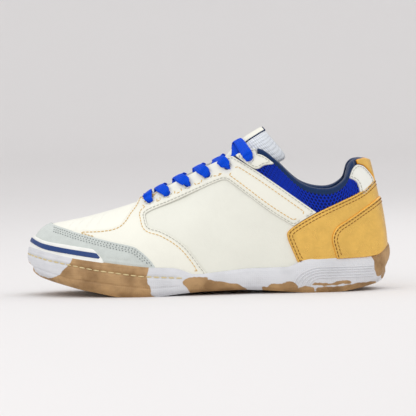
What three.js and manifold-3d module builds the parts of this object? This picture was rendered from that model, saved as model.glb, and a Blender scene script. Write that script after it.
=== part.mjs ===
// Low court shoe, left foot. Millimetres, +Z up, -X to the toe, +X to the heel, -Y the outer (lateral) side.
// The upper is built in layers over one last surface: lining, stiffeners, base panels, overlays, top pieces.
// Each layer is a shell between two distances from that surface, and each panel is the part of a shell that
// lies inside its side-view outline.
import * as THREE from "three";
import { mergeVertices } from "three/addons/utils/BufferGeometryUtils.js";
import Module from "manifold-3d";

const wasm = await Module();
wasm.setup();

// ---------------------------------------------------------------- driving dimensions
const SOLE_LENGTH = 297.8; // heel to toe over the cupsole
const SOLE_WIDTH = 1; // scale of every half-width of the sole and the upper
const UPPER_HEIGHT = 1; // scale of every height of the upper above its feather line
const CLEAR = 0.3; // gap between two pieces that touch
const TOE_SWING = 7; // how far the toe turns in to the medial side
const WALL = 5.5; // cupsole wall, from its widest line to the upper
const TREAD = 4.5; // cupsole floor under the midsole
const LINING = 1.0;
const STIFFENER = 1.0;
const LEATHER = 1.4;
const TOP_LEATHER = 1.3;
const FOAM = 6.5; // deepest collar padding
const BINDING_HEIGHT = 4.5;
const BOARD = 2.0; // insole board
const SOCKLINER = 4.0;
const SHANK = [112, 18, 1.4]; // length, width, thickness
const EYELETS = 6; // on each side
const EYELET_RADIUS = 2.4;
const EYELET_DEPTH = 7.5; // from the throat edge
const LACE_RADIUS = 1.05;
const TONGUE_COVER = 1.2;
const TONGUE_LINING = 1.0;
const THREAD_RADIUS = 0.5;

// Distances of each layer's two faces from the last surface.
const stiffenerLayer = [-STIFFENER, 0];
const liningLayer = [-STIFFENER - CLEAR - LINING, -STIFFENER - CLEAR];
const baseLayer = [CLEAR, CLEAR + LEATHER];
const overlayLayer = [baseLayer[1] + CLEAR, baseLayer[1] + CLEAR + LEATHER];
const topLayer = [overlayLayer[1] + CLEAR, overlayLayer[1] + CLEAR + TOP_LEATHER];
const cupInner = baseLayer[1] + CLEAR;

// ---------------------------------------------------------------- plan and profile of the shoe
const LATERAL = -1;
const MEDIAL = 1;
const SIDES = { lateral: LATERAL, medial: MEDIAL };

// Stations round the cupsole from toe to heel: x, lateral half-width, medial half-width.
const soleStations = [
  [-148.9, 0, 0], [-143.5, 17, 16.5], [-131, 31.5, 30.5], [-111, 43, 40.5], [-87, 50.5, 46],
  [-62, 53, 48], [-45, 52, 46.5], [-28, 49, 43], [-7, 45, 38.5], [16, 41, 34.5],
  [38, 38.8, 32.8], [56, 37.8, 32.8], [72, 37, 33.5], [88, 36.5, 34.5], [105, 34.8, 34],
  [121, 30.5, 30.3], [134, 22.5, 22.5], [144, 12.5, 12.5], [148.9, 0, 0],
];
const LAST = soleStations.length - 1;

// Height of the feather line, where the upper turns under the foot, at each station.
const featherHeights = [28, 27, 24.5, 21, 18, 16, 15, 14.5, 12.5, 12, 12.5, 13.5, 16, 18, 19, 19.5, 20, 20.5, 20.5];

// The section of the upper at each station is a cubic from the feather line to the top edge:
// top edge x, half-width, z; its handle dx, dw, dz; the feather handle dx, dw, dz.
const sectionStations = [
  [-119, 0, 58, -14, 0, -0.5, -0.1, 0, 20],
  [-117, 0, 58.5, -7, 12, -1, 0, 1, 20],
  [-111, 0, 59.7, -3, 18, -1.5, 0, 1.5, 20],
  [-99, 0, 62, -1, 22, -2, 0, 1.5, 20],
  [-80, 0, 66.8, 0, 24, -3, 0, 1, 22],
  [-62, 0, 72, 0, 24, -4, 0, 0.5, 25],
  [-52, 7, 76, 0, 20, -9, 0, 0, 28],
  [-40, 12.5, 82, 1, 17, -14, 0, 0, 28],
  [-19, 16, 93, 2, 15, -20, 0, 0, 30],
  [6, 20, 105.5, 2, 11, -26, 0, 0.5, 30],
  [28, 24.5, 113.5, 2, 9, -28, 0, 1, 32],
  [42, 26.5, 117, 2, 8, -28, 0, 1, 32],
  [54, 29, 109.5, 2, 5, -26, 0, 1.5, 30],
  [76, 31, 89, 1, 4, -20, 0, 2, 24],
  [97, 29.5, 83.8, 0, 3.5, -18, 1, 2, 22],
  [111, 24, 90.5, 1, 4, -22, 3, 2, 24],
  [117.5, 18, 104.5, 3, 4, -26, 5, 2, 27],
  [125, 10.5, 107.5, 5, 3, -27, 4, 1, 30],
  [130.5, 0, 106.3, 6.5, 0, -26.5, -0.9, 0, 30],
];
const THROAT = 6; // first station of the open throat
const COLLAR = 11; // station of the corner between throat and collar

// Side-view profiles of the cupsole as x, z.
const soleBottom = [
  [-149, 26], [-145.3, 20.5], [-138.8, 16], [-127.9, 12.6], [-106.3, 6.6], [-84.7, 2.2], [-74, 0],
  [-38, 0], [-24, 1.6], [-6, 3], [29, 3.6], [44.7, 2.8], [66.2, 1], [78, 0], [108, 0], [123.8, 2.6],
  [136.5, 5.6], [141, 7.2], [145.2, 12.3], [149, 25],
];
const soleTop = [
  [-149, 40], [-128.5, 35.5], [-110.3, 31.7], [-83.4, 27.8], [-63.8, 25.2], [-48.2, 23.5],
  [-27, 22.6], [-20.1, 20.4], [-12.7, 17], [-1.2, 17.4], [31.4, 20.6], [66, 21], [72.8, 25],
  [80, 27.3], [104.7, 28.4], [130.9, 29], [141, 30.5], [145.6, 36], [149, 38.5],
];
const threadLine = [[-148.5, 34], [-132.3, 30.1], [-92.1, 22.3], [-55.3, 16.9], [-25, 14.8]];

// How far the cupsole wall is set in from its widest line, at heights from its foot (0) to its lip (1).
const wallShape = [[0, 4.5], [0.14, 1.2], [0.4, 0.1], [0.62, 0], [0.92, 0.8], [1, 1.8]];

// ---------------------------------------------------------------- side-view outlines of the panels, x, z
const vampSeam = [[-106, 50], [-88, 52.5], [-76, 55.6], [-69.3, 60.9], [-64.4, 67.8], [-59.3, 74.3], [-54.5, 84]];
const suedeEdge = [
  [-118, 64], [-121.5, 57.5], [-115.4, 55.4], [-107.5, 52.9], [-91.9, 48.7], [-76.3, 44.8], [-61.1, 41.3],
  [-55.4, 38], [-49.8, 33.2], [-45.3, 28], [-40.8, 21],
];
const foxingEdge = [
  [-150, 51], [-142.6, 48.9], [-133.5, 45.8], [-117.9, 43.5], [-96.9, 40.2], [-93.3, 39.3], [-89.3, 35.3],
  [-86.7, 32.3], [-83.7, 26],
];
const stripeTop = [[-150, 48.2], [-144.8, 46.4], [-136.2, 43], [-118, 39.5], [-91, 35.4]];
const stripeBottom = [[-88.5, 32.4], [-112.8, 36.1], [-133.6, 39.6], [-145, 44.1], [-150, 45.6]];
const panelWindow = [
  [-49.1, 67.8], [-28, 76.2], [-10, 83.9], [7.8, 91.3], [14.1, 92.8], [20.3, 89.5], [47.4, 68.5], [67.7, 55.2],
  [84, 46], [84, 10], [-1, 10], [-1.8, 17.9], [-6.2, 23.8], [-11.8, 31.9], [-18.5, 40.2], [-27.1, 47.2],
  [-37.9, 53.2], [-48, 56.6], [-50.5, 63],
];
const strapEdge = [[17, 125], [19.6, 113], [38.4, 101.2], [54, 90.3], [70, 78.6], [92, 62.5]];
const meshEdge = [[12, 125], [15.5, 108], [34, 97.5], [48, 86], [62, 77], [70, 70], [92, 58], [150, 58]];
const topTab = [[20, 119], [21.8, 113.2], [38.3, 101.7], [46.7, 104.3], [56.4, 105.6], [60, 109], [52, 122], [30, 124]];
const counterEdge = [
  [150, 97], [138.7, 91.2], [125.3, 81.2], [107.9, 73.5], [90, 65.7], [74, 57], [65.2, 50.6], [64, 45.7],
  [67.1, 36.9], [74, 20],
];
const coverEdge = [[150, 81], [143, 76.8], [114.3, 58.9], [104.4, 52.5], [100.4, 43.9], [101.9, 35.2], [106, 20]];
const strapEnd = [[150, 68], [143, 66], [122, 55], [113, 48], [109, 41], [110, 34], [113, 20]]; // under the cover
const heelTab = [
  [118.8, 103], [123.4, 103.1], [128.6, 101.2], [133.1, 96.5], [136.6, 91.7], [125.6, 82.2], [123.1, 87],
  [119.7, 90.5], [114.9, 92.3],
];
const heelTopTab = [[120.5, 112], [123.4, 103.5], [128.8, 101.6], [133.4, 96.9], [137.2, 91.6], [150, 92], [150, 112]];

// ---------------------------------------------------------------- curves and the last surface
function catmull(a, b, c, d, t) {
  return 0.5 * (2 * b + (c - a) * t + (2 * a - 5 * b + 4 * c - d) * t * t + (3 * b - a - 3 * c + d) * t * t * t);
}

function lookup(profile, x) {
  let i = 0;
  while (i < profile.length - 2 && x > profile[i + 1][0]) i++;
  const [a, b] = [profile[i], profile[i + 1]];
  const t = Math.min(1, Math.max(0, (x - a[0]) / (b[0] - a[0])));
  return a[1] + (b[1] - a[1]) * t;
}

function halfWidth(i, side) {
  return soleStations[i][side === LATERAL ? 1 : 2] * SOLE_WIDTH;
}

const lengthScale = SOLE_LENGTH / (soleStations[LAST][0] - soleStations[0][0]);

// Value of a station list at u, between stations, mirrored past the centre line at the toe and the heel.
function alongStations(row, side, u) {
  const at = (i) => {
    if (i < 0) return row(-i, -side).map((c, k) => (k === 1 ? -c : c));
    if (i > LAST) return row(2 * LAST - i, -side).map((c, k) => (k === 1 ? -c : c));
    return row(i, side);
  };
  const i = Math.min(LAST - 1, Math.max(0, Math.floor(u)));
  const [a, b, c, d] = [at(i - 1), at(i), at(i + 1), at(i + 2)];
  return b.map((_, k) => catmull(a[k], b[k], c[k], d[k], u - i));
}

function soleRow(i, side) {
  return [soleStations[i][0] * lengthScale, halfWidth(i, side)];
}

// Point of the sole's outline at u, set in by a distance: x and half-width.
function soleOutline(side, u, inset) {
  const step = 0.02;
  const here = alongStations(soleRow, side, u);
  const next = alongStations(soleRow, side, Math.min(LAST, u + step));
  const back = alongStations(soleRow, side, Math.max(0, u - step));
  let tangent = [next[0] - back[0], next[1] - back[1]];
  if (u < 1e-6) tangent = [0, 1];
  if (u > LAST - 1e-6) tangent = [0, -1];
  const length = Math.hypot(...tangent);
  return [here[0] + (tangent[1] / length) * inset, Math.max(0, here[1] - (tangent[0] / length) * inset)];
}

function feather(i, side) {
  const [x, w] = soleOutline(side, i, WALL);
  return [x, w, featherHeights[i]];
}

function featherHandle(i, side) {
  const [x, w, z] = feather(i, side);
  const [dx, dw, dz] = sectionStations[i].slice(6);
  return [x + dx, w + dw, z + dz * UPPER_HEIGHT];
}

function topEdge(i) {
  const [x, w, z] = sectionStations[i];
  return [x * lengthScale, w * SOLE_WIDTH, featherHeights[i] + (z - featherHeights[i]) * UPPER_HEIGHT];
}

function topHandle(i) {
  const [x, w, z] = topEdge(i);
  const [dx, dw, dz] = sectionStations[i].slice(3, 6);
  return [x + dx, w + dw * SOLE_WIDTH, z + dz * UPPER_HEIGHT];
}

function lastPoint(side, u, v) {
  const rows = [feather, featherHandle, topHandle, topEdge].map((row) => alongStations(row, side, u));
  const s = 1 - v;
  const weights = [s * s * s, 3 * s * s * v, 3 * s * v * v, v * v * v];
  const point = [0, 1, 2].map((k) => rows.reduce((sum, r, j) => sum + r[k] * weights[j], 0));
  point[1] = Math.max(0, point[1]);
  if (u < 1e-6 || u > LAST - 1e-6) point[1] = 0;
  return new THREE.Vector3(point[0], side * point[1], point[2]);
}

function slopeNormal(side, u, v) {
  const cu = Math.min(LAST - 0.03, Math.max(0.03, u));
  const cv = Math.min(0.985, Math.max(0.01, v));
  const along = lastPoint(side, cu + 0.02, cv).sub(lastPoint(side, cu - 0.02, cv));
  const up = lastPoint(side, cu, cv + 0.01).sub(lastPoint(side, cu, cv - 0.01));
  return along.cross(up).multiplyScalar(side === LATERAL ? 1 : -1).normalize();
}

// On the centre line both sides share one normal, without a sideways part.
function lastNormal(side, u, v) {
  const normal = slopeNormal(side, u, v);
  if (Math.abs(lastPoint(side, u, v).y) > 1e-3) return normal;
  normal.add(slopeNormal(-side, u, v));
  normal.y = 0;
  return normal.normalize();
}

function lastOffset(side, u, v, distance) {
  return lastPoint(side, u, v).addScaledVector(lastNormal(side, u, v), distance);
}

// v of the point that lies a distance down the section from the top edge.
function vAtDepth(side, u, depth) {
  const steps = 60;
  let [travelled, v, here] = [0, 1, lastPoint(side, u, 1)];
  while (v > 0) {
    const next = lastPoint(side, u, v - 1 / steps);
    const step = next.distanceTo(here);
    if (travelled + step >= depth) return v - (depth - travelled) / step / steps;
    [travelled, v, here] = [travelled + step, v - 1 / steps, next];
  }
  return 0;
}

// ---------------------------------------------------------------- solids
function toManifold(geometry) {
  const bare = geometry.index ? geometry.toNonIndexed() : geometry.clone();
  const onlyPosition = new THREE.BufferGeometry().setAttribute("position", bare.getAttribute("position"));
  const merged = mergeVertices(onlyPosition, 1e-4);
  return new wasm.Manifold(new wasm.Mesh({
    numProp: 3,
    vertProperties: merged.attributes.position.array,
    triVerts: new Uint32Array(merged.index.array),
  }));
}

function toGeometry(solid) {
  const mesh = solid.getMesh();
  const geometry = new THREE.BufferGeometry();
  const positions = new Float32Array(mesh.numVert * 3);
  for (let i = 0; i < mesh.numVert; i++) {
    positions.set(mesh.vertProperties.subarray(i * mesh.numProp, i * mesh.numProp + 3), i * 3);
  }
  geometry.setAttribute("position", new THREE.BufferAttribute(positions, 3));
  geometry.setIndex(new THREE.BufferAttribute(new Uint32Array(mesh.triVerts), 1));
  return geometry;
}

// Closed solid between two grids of points, with walls along their four edges.
function gridSolid(outer, inner) {
  const [rows, columns] = [outer.length, outer[0].length];
  const positions = [];
  const quad = (a, b, c, d) => {
    for (const p of [a, b, c, a, c, d]) positions.push(p.x, p.y, p.z);
  };
  for (let i = 0; i < rows - 1; i++) {
    for (let j = 0; j < columns - 1; j++) {
      quad(outer[i][j], outer[i + 1][j], outer[i + 1][j + 1], outer[i][j + 1]);
      quad(inner[i][j], inner[i][j + 1], inner[i + 1][j + 1], inner[i + 1][j]);
    }
    quad(outer[i][0], inner[i][0], inner[i + 1][0], outer[i + 1][0]);
    quad(outer[i][columns - 1], outer[i + 1][columns - 1], inner[i + 1][columns - 1], inner[i][columns - 1]);
  }
  for (let j = 0; j < columns - 1; j++) {
    quad(outer[0][j], outer[0][j + 1], inner[0][j + 1], inner[0][j]);
    quad(outer[rows - 1][j], inner[rows - 1][j], inner[rows - 1][j + 1], outer[rows - 1][j + 1]);
  }
  return solidFromPositions(positions);
}

function solidFromPositions(positions) {
  const geometry = new THREE.BufferGeometry();
  geometry.setAttribute("position", new THREE.Float32BufferAttribute(withoutSlivers(positions), 3));
  const solid = toManifold(geometry);
  if (solid.volume() >= 0) return solid;
  for (let i = 0; i < positions.length; i += 9) {
    for (let k = 0; k < 3; k++) {
      [positions[i + 3 + k], positions[i + 6 + k]] = [positions[i + 6 + k], positions[i + 3 + k]];
    }
  }
  geometry.setAttribute("position", new THREE.Float32BufferAttribute(withoutSlivers(positions), 3));
  return toManifold(geometry);
}

// Leaves out triangles two of whose corners are the same point.
function withoutSlivers(positions) {
  const kept = [];
  const same = (t, a, b) => Math.hypot(t[a] - t[b], t[a + 1] - t[b + 1], t[a + 2] - t[b + 2]) < 1e-3;
  for (let i = 0; i < positions.length; i += 9) {
    const t = positions.slice(i, i + 9);
    if (!same(t, 0, 3) && !same(t, 3, 6) && !same(t, 0, 6)) kept.push(...t);
  }
  return kept;
}

const U_STEPS = 4 / 3; // grid lines for each station
const V_STEPS = 5;

function evenly(from, to, steps) {
  return Array.from({ length: steps + 1 }, (_, i) => from + ((to - from) * i) / steps);
}

const allUs = evenly(0, LAST, Math.round(LAST * U_STEPS));

// One side of a shell over the last between two distances, at the given u and from v0(u) to v1(u).
function sidePatch(side, [inner, outer], { us = allUs, v0, v1, columns = V_STEPS } = {}) {
  const face = (distance) => us.map((u) => {
    const low = v0 ? v0(u, side) : 0;
    const high = v1 ? v1(u, side) : 1;
    return evenly(low, high, columns).map((v) => {
      return lastOffset(side, u, v, typeof distance === "function" ? distance(u, v) : distance);
    });
  });
  return gridSolid(face(outer), face(inner));
}

function bothSides(layer, range) {
  return sidePatch(LATERAL, layer, range).add(sidePatch(MEDIAL, layer, range));
}

const shellCache = new Map();
function shell(layer, side = 0) {
  const key = layer.join() + side;
  if (!shellCache.has(key)) shellCache.set(key, side ? sidePatch(side, layer) : bothSides(layer));
  return shellCache.get(key);
}

const FOOT_INSET = 4; // the cup narrows by this much down to its floor

function footPoint(side, u, inset, height) {
  const [x, w] = soleOutline(side, u, WALL + FOOT_INSET + inset);
  return new THREE.Vector3(x, side * w, height(x));
}

// Full volume inside the last surface moved out by a distance, with an extra foot ring below if given.
function plug(distance, footHeight) {
  const rings = [];
  for (let i = 0; i <= Math.round(LAST * U_STEPS); i++) {
    const u = Math.min(LAST, i / U_STEPS);
    const half = (side) => {
      const points = Array.from({ length: V_STEPS + 1 }, (_, j) => lastOffset(side, u, j / V_STEPS, distance));
      return [footPoint(side, u, 0, footHeight), ...points];
    };
    rings.push([...half(LATERAL), ...half(MEDIAL).reverse()]);
  }
  return loftRings(rings);
}

// Closed solid through open rings that run from one side over to the other: each ring is closed along the
// straight line between its ends, and the first and last ring are flat folds or caps.
function loftRings(rings) {
  const positions = [];
  const quad = (a, b, c, d) => {
    for (const p of [a, b, c, a, c, d]) positions.push(p.x, p.y, p.z);
  };
  const count = rings[0].length;
  for (let i = 0; i < rings.length - 1; i++) {
    for (let j = 0; j < count; j++) {
      const k = (j + 1) % count;
      quad(rings[i][j], rings[i][k], rings[i + 1][k], rings[i + 1][j]);
    }
  }
  for (const [ring, flip] of [[rings[0], true], [rings[rings.length - 1], false]]) {
    for (let j = 0; j < count / 2 - 1; j++) {
      const [a, b, c, d] = [ring[j], ring[j + 1], ring[count - 2 - j], ring[count - 1 - j]];
      if (flip) quad(d, c, b, a);
      else quad(a, b, c, d);
    }
  }
  return solidFromPositions(positions);
}

// The largest body of a solid, without the crumbs that a cut may leave beside it.
function mainBody(solid) {
  return solid.decompose().reduce((best, body) => (body.volume() > best.volume() ? body : best));
}

function signedArea(points) {
  return points.reduce((sum, [x, z], i) => {
    const [nx, nz] = points[(i + 1) % points.length];
    return sum + (x * nz - nx * z) / 2;
  }, 0);
}

// Moves each edge of a closed outline out by a distance (in, if negative).
function grown(points, distance) {
  const turn = Math.sign(signedArea(points));
  const count = points.length;
  return points.map(([x, z], i) => {
    const [px, pz] = points[(i + count - 1) % count];
    const [nx, nz] = points[(i + 1) % count];
    const a = new THREE.Vector2(z - pz, px - x).normalize();
    const b = new THREE.Vector2(nz - z, x - nx).normalize();
    const bisector = a.clone().add(b).normalize();
    const reach = distance / Math.max(0.4, bisector.dot(a));
    return [x + bisector.x * reach * turn, z + bisector.y * reach * turn];
  });
}

const REACH = 90; // past the widest point on either side

function scaled(points) {
  return points.map(([x, z]) => [x * lengthScale, z * UPPER_HEIGHT]);
}

// Solid across the shoe, or on one side of it, behind a side-view outline.
function prism(points, { side = 0, grow = 0 } = {}) {
  const outline = grown(scaled(points), grow);
  const shape = new THREE.Shape(outline.map(([x, z]) => new THREE.Vector2(x, z)));
  const from = side === MEDIAL ? CLEAR / 2 : -REACH;
  const to = side === LATERAL ? -CLEAR / 2 : REACH;
  const geometry = new THREE.ExtrudeGeometry(shape, { depth: to - from, bevelEnabled: false, steps: 1 });
  geometry.rotateX(Math.PI / 2);
  geometry.translate(0, to, 0);
  return toManifold(geometry);
}

function closeDown(edge, floor = 0) {
  return [...edge, [edge[edge.length - 1][0], floor], [edge[0][0], floor]];
}

function closeUp(edge, ceiling = 130) {
  return [...edge, [edge[edge.length - 1][0], ceiling], [edge[0][0], ceiling]];
}

// ---------------------------------------------------------------- sole unit
function soleRing(shapeAt, grow) {
  const [height, inset] = shapeAt;
  return (side, u) => {
    const [x, w] = soleOutline(side, u, inset - grow);
    const low = lookup(soleBottom, x / lengthScale) - grow;
    const high = lookup(soleTop, x / lengthScale) + grow;
    return new THREE.Vector3(x, side * w, low + (high - low) * height);
  };
}

function soleBlock(grow = 0) {
  const levels = wallShape.map((s) => soleRing(s, grow));
  const rings = [];
  for (let i = 0; i <= Math.round(LAST * U_STEPS); i++) {
    const u = Math.min(LAST, i / U_STEPS);
    rings.push([...levels.map((p) => p(LATERAL, u)), ...levels.map((p) => p(MEDIAL, u)).reverse()]);
  }
  return loftRings(rings);
}

const HEEL_BEVEL = 136; // the floor stays level behind this
const cupFloor = (x) => lookup(soleBottom, Math.min(HEEL_BEVEL, x / lengthScale)) + TREAD;

// Plate with the upper's own outline, moved out by a distance; its foot may be narrower.
function plateUnder(distance, bottom, top, footInset) {
  const rings = [];
  for (let i = 0; i <= Math.round(LAST * U_STEPS); i++) {
    const u = Math.min(LAST, i / U_STEPS);
    const half = (side) => {
      const high = lastOffset(side, u, 0, distance);
      high.z = top(high.x);
      const low = footInset === undefined ? high.clone() : footPoint(side, u, footInset, bottom);
      low.z = bottom(low.x);
      return [low, high];
    };
    rings.push([...half(LATERAL), ...half(MEDIAL).reverse()]);
  }
  return loftRings(rings);
}

const featherAt = (() => {
  const line = soleStations.map((_, i) => [feather(i, LATERAL)[0], featherHeights[i]]);
  return (x) => lookup(line, x);
})();

const soleEnvelope = soleBlock(CLEAR);
const cupsole = soleBlock().subtract(plug(cupInner, cupFloor));

const SHANK_START = -18;
const underBoard = (x) => featherAt(x) - 2 * CLEAR;
function shankBox(grow) {
  const line = evenly(SHANK_START - grow, SHANK_START + SHANK[0] + grow, 8).map((x) => [x, underBoard(x)]);
  const top = line.map(([x, z]) => [x, z + (grow ? 2 : 0)]);
  const bottom = line.map(([x, z]) => [x, z - SHANK[2] - grow]).reverse();
  const shape = new THREE.Shape([...top, ...bottom].map(([x, z]) => new THREE.Vector2(x, z)));
  const width = SHANK[1] + 2 * grow;
  const geometry = new THREE.ExtrudeGeometry(shape, { depth: width, bevelEnabled: false, steps: 1 });
  geometry.rotateX(Math.PI / 2);
  geometry.translate(0, width / 2, 0);
  return toManifold(geometry);
}

const midsole = plateUnder(cupInner - 3 * CLEAR, (x) => cupFloor(x) + CLEAR, underBoard, 2 * CLEAR)
  .subtract(shankBox(CLEAR));
const shank = shankBox(0);
const boardEdge = liningLayer[0] - 2.5 * CLEAR;
const insoleBoard = plateUnder(boardEdge, (x) => featherAt(x), (x) => featherAt(x) + BOARD);
const sockliner = plateUnder(
  boardEdge - 1,
  (x) => featherAt(x) + BOARD + CLEAR,
  (x) => featherAt(x) + BOARD + CLEAR + SOCKLINER,
);

function sidewallThread() {
  const end = 7.2;
  const steps = 18;
  const points = [];
  for (let i = -steps; i <= steps; i++) {
    const u = (Math.abs(i) / steps) * end;
    const side = i < 0 ? LATERAL : MEDIAL;
    const [x, w] = soleOutline(side, u, -CLEAR - THREAD_RADIUS);
    points.push(new THREE.Vector3(x, side * w, lookup(threadLine, x / lengthScale)));
  }
  return tube(points, THREAD_RADIUS, 5, steps * 2);
}

function tube(points, radius, sides, steps) {
  const curve = new THREE.CatmullRomCurve3(points, false, "centripetal");
  const circle = Array.from({ length: sides }, (_, i) => {
    const angle = (2 * Math.PI * i) / sides;
    return new THREE.Vector2(radius * Math.cos(angle), radius * Math.sin(angle));
  });
  const geometry = new THREE.ExtrudeGeometry(new THREE.Shape(circle), { steps, extrudePath: curve });
  return toManifold(geometry);
}

// ---------------------------------------------------------------- throat: eyelets, tongue and lace
const eyeletX = [-45.5, -31.8, -15.2, 1, 17.2, 35.5];

function eyelet(side, n) {
  const target = eyeletX[n] * lengthScale;
  let [low, high] = [THROAT - 0.5, COLLAR];
  for (let i = 0; i < 30; i++) {
    const u = (low + high) / 2;
    if (lastPoint(side, u, vAtDepth(side, u, EYELET_DEPTH)).x < target) low = u;
    else high = u;
  }
  return { u: low, v: vAtDepth(side, low, EYELET_DEPTH) };
}

const eyelets = [];
for (const side of [LATERAL, MEDIAL]) {
  for (let n = 0; n < EYELETS; n++) eyelets.push({ side, n, ...eyelet(side, n) });
}

const eyeletHoles = eyelets
  .map(({ side, u, v }) => {
    const geometry = new THREE.CylinderGeometry(EYELET_RADIUS, EYELET_RADIUS, 16, 10);
    const turn = new THREE.Quaternion().setFromUnitVectors(new THREE.Vector3(0, 1, 0), lastNormal(side, u, v));
    geometry.applyQuaternion(turn);
    const centre = lastOffset(side, u, v, 1);
    geometry.translate(centre.x, centre.y, centre.z);
    return toManifold(geometry);
  })
  .reduce((all, hole) => all.add(hole));

// The tongue runs up its centre line: x, z, half-width, arch depth, thickness.
const tongueStations = [
  [-60, 65, 14, 4, 3.6], [-45, 71, 15.5, 6.5, 4], [-30, 79, 17.5, 9, 5], [-15, 88, 19.5, 12, 6],
  [0, 97.5, 21.5, 15, 7], [12, 108, 22.5, 19, 8], [28, 124, 22.5, 23, 9], [40, 132, 22.5, 26, 8.5],
  [45.5, 134.8, 22.5, 27, 5],
];

function tonguePoint(t, across, depth) {
  const i = Math.min(tongueStations.length - 2, Math.floor(t));
  const at = (k) => tongueStations[Math.min(tongueStations.length - 1, Math.max(0, k))];
  const value = (k) => catmull(at(i - 1)[k], at(i)[k], at(i + 1)[k], at(i + 2)[k], t - i);
  const slope = Math.min(0.72, 0.3 + 0.06 * t);
  const [down, along] = [[Math.sin(slope), -Math.cos(slope)], across * across];
  const angle = across * 1.35;
  const drop = value(3) * (1 - Math.cos(angle)) / (1 - Math.cos(1.35)) + depth * Math.cos(angle * 0.8);
  const width = (value(2) - depth * Math.abs(Math.sin(angle)) * 0.8) * Math.sin(angle) / Math.sin(1.35);
  const z = featherHeights[THROAT] + (value(1) - featherHeights[THROAT]) * UPPER_HEIGHT;
  return new THREE.Vector3(
    value(0) * lengthScale + down[0] * drop,
    width * SOLE_WIDTH,
    z + down[1] * drop - along * 0.5,
  );
}

const tongueRows = [0, 0.8, 1.6, 2.4, 3.2, 4, 4.8, 5.4, 6, 6.6, 7.1, 7.6, 8];
const tongueColumns = evenly(-1, 1, 8);

// A layer of the tongue between two depths; a trimmed one stops short of the cover's edges.
function tongueSlab(from, to, trimmed) {
  const rows = trimmed ? tongueRows.slice(0, -1) : tongueRows;
  const columns = trimmed ? tongueColumns.slice(1, -1) : tongueColumns;
  const face = (depthAt) => rows.map((t) => columns.map((across) => tonguePoint(t, across, depthAt(t))));
  return gridSolid(face(from), face(to));
}

function tongueThickness(t) {
  const i = Math.min(tongueStations.length - 2, Math.floor(t));
  return tongueStations[i][4] + (tongueStations[i + 1][4] - tongueStations[i][4]) * (t - i);
}

const tongueCover = tongueSlab(() => 0, () => TONGUE_COVER, false);
const tongueFoam = tongueSlab(
  () => TONGUE_COVER + CLEAR,
  (t) => tongueThickness(t) - TONGUE_LINING - CLEAR,
  true,
);
const tongueLining = tongueSlab((t) => tongueThickness(t) - TONGUE_LINING, (t) => tongueThickness(t), true);

// The lace runs from one hidden end to the other: out of an eyelet, over the throat edge, across and under
// the other edge to the next eyelet down, along the bottom bar, and back up the same way.
const TAB_EYELET = EYELETS - 1; // the top eyelet goes through the eyelet tab as well
const overAt = (n) => (n === TAB_EYELET ? topLayer : overlayLayer)[1] + CLEAR + LACE_RADIUS;
const UNDER = liningLayer[0] - CLEAR - LACE_RADIUS;

function tongueTop(x) {
  const line = tongueStations.map(([sx, z]) => [sx * lengthScale, z]);
  return featherHeights[THROAT] + (lookup(line, x) - featherHeights[THROAT]) * UPPER_HEIGHT;
}

function besideEyelet(side, n, depth, distance, shift = 0) {
  const hole = eyelets.find((e) => e.side === side && e.n === n);
  const u = hole.u + shift;
  return lastOffset(side, u, vAtDepth(side, u, depth), distance);
}

function crossing(overSide, n, lift) {
  const under = besideEyelet(-overSide, n - 1, 0, 0);
  const over = besideEyelet(overSide, n, 0, overAt(n));
  const middle = under.clone().lerp(over, 0.5);
  middle.z = Math.max(over.z + 1, tongueTop(middle.x) + LACE_RADIUS + 3 * CLEAR) + lift;
  return middle;
}

function lacePoints() {
  const run = (overSide, top) => {
    const points = [];
    for (let n = top; n > 0; n--) {
      const side = (top - n) % 2 ? -overSide : overSide;
      points.push(besideEyelet(side, n, EYELET_DEPTH, UNDER));
      points.push(besideEyelet(side, n, EYELET_DEPTH, overAt(n) + 0.3));
      points.push(besideEyelet(side, n, 1.5, overAt(n) + 1.1));
      points.push(crossing(side, n, side === LATERAL ? 2.9 : 0));
      points.push(besideEyelet(-side, n - 1, -3, -4.2, 0.25));
      points.push(besideEyelet(-side, n - 1, 3.2, UNDER - 0.4, 0.12));
    }
    return points;
  };
  const first = run(LATERAL, EYELETS - 1);
  const second = run(MEDIAL, EYELETS - 1);
  const bar = [MEDIAL, LATERAL].map((side) => [
    besideEyelet(side, 0, EYELET_DEPTH, UNDER),
    besideEyelet(side, 0, EYELET_DEPTH, overAt(0)),
    besideEyelet(side, 0, 1.5, overAt(0) + 0.3),
  ]);
  const order = (EYELETS - 1) % 2 ? bar : [...bar].reverse();
  return [...first, ...order[0], ...order[1].reverse(), ...second.reverse()];
}

// The lace ends run down between the lining and the tongue: depth below the throat edge, room to the lining.
const tailSteps = [[24, 1], [17, 0.8], [11, 0.6]];
function laceTail(side) {
  return tailSteps.map(([depth, room]) => besideEyelet(side, EYELETS - 1, depth, UNDER - room, 0.1));
}
const laceRoute = [...laceTail(LATERAL), ...lacePoints(), ...laceTail(MEDIAL).reverse()];
const LACE_STEPS = Math.round(laceRoute.length * 2.2);

function aglet(side) {
  const [from, before] = laceTail(side);
  const direction = from.clone().sub(before).normalize();
  const length = 16;
  const geometry = new THREE.CylinderGeometry(LACE_RADIUS * 1.2, LACE_RADIUS * 1.2, length, 8);
  geometry.applyQuaternion(new THREE.Quaternion().setFromUnitVectors(new THREE.Vector3(0, 1, 0), direction));
  const centre = from.addScaledVector(direction, length / 2 + CLEAR);
  geometry.translate(centre.x, centre.y, centre.z);
  return toManifold(geometry);
}

// ---------------------------------------------------------------- collar
const foamGrowth = (u) => Math.min(1, Math.max(0.12, (u - COLLAR - 0.2) / 2));
const foamDepth = (u) => {
  const v = foamGrowth(u);
  return FOAM * v * v * (3 - 2 * v);
};
const collarUs = [10.9, 11.3, 11.7, 12.1, 12.6, 13.1, 13.6, 14.1, 14.6, 15, 15.4, 15.8, 16.2, 16.6, 17, 17.5, 18];
const padUs = collarUs.slice(1);

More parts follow.
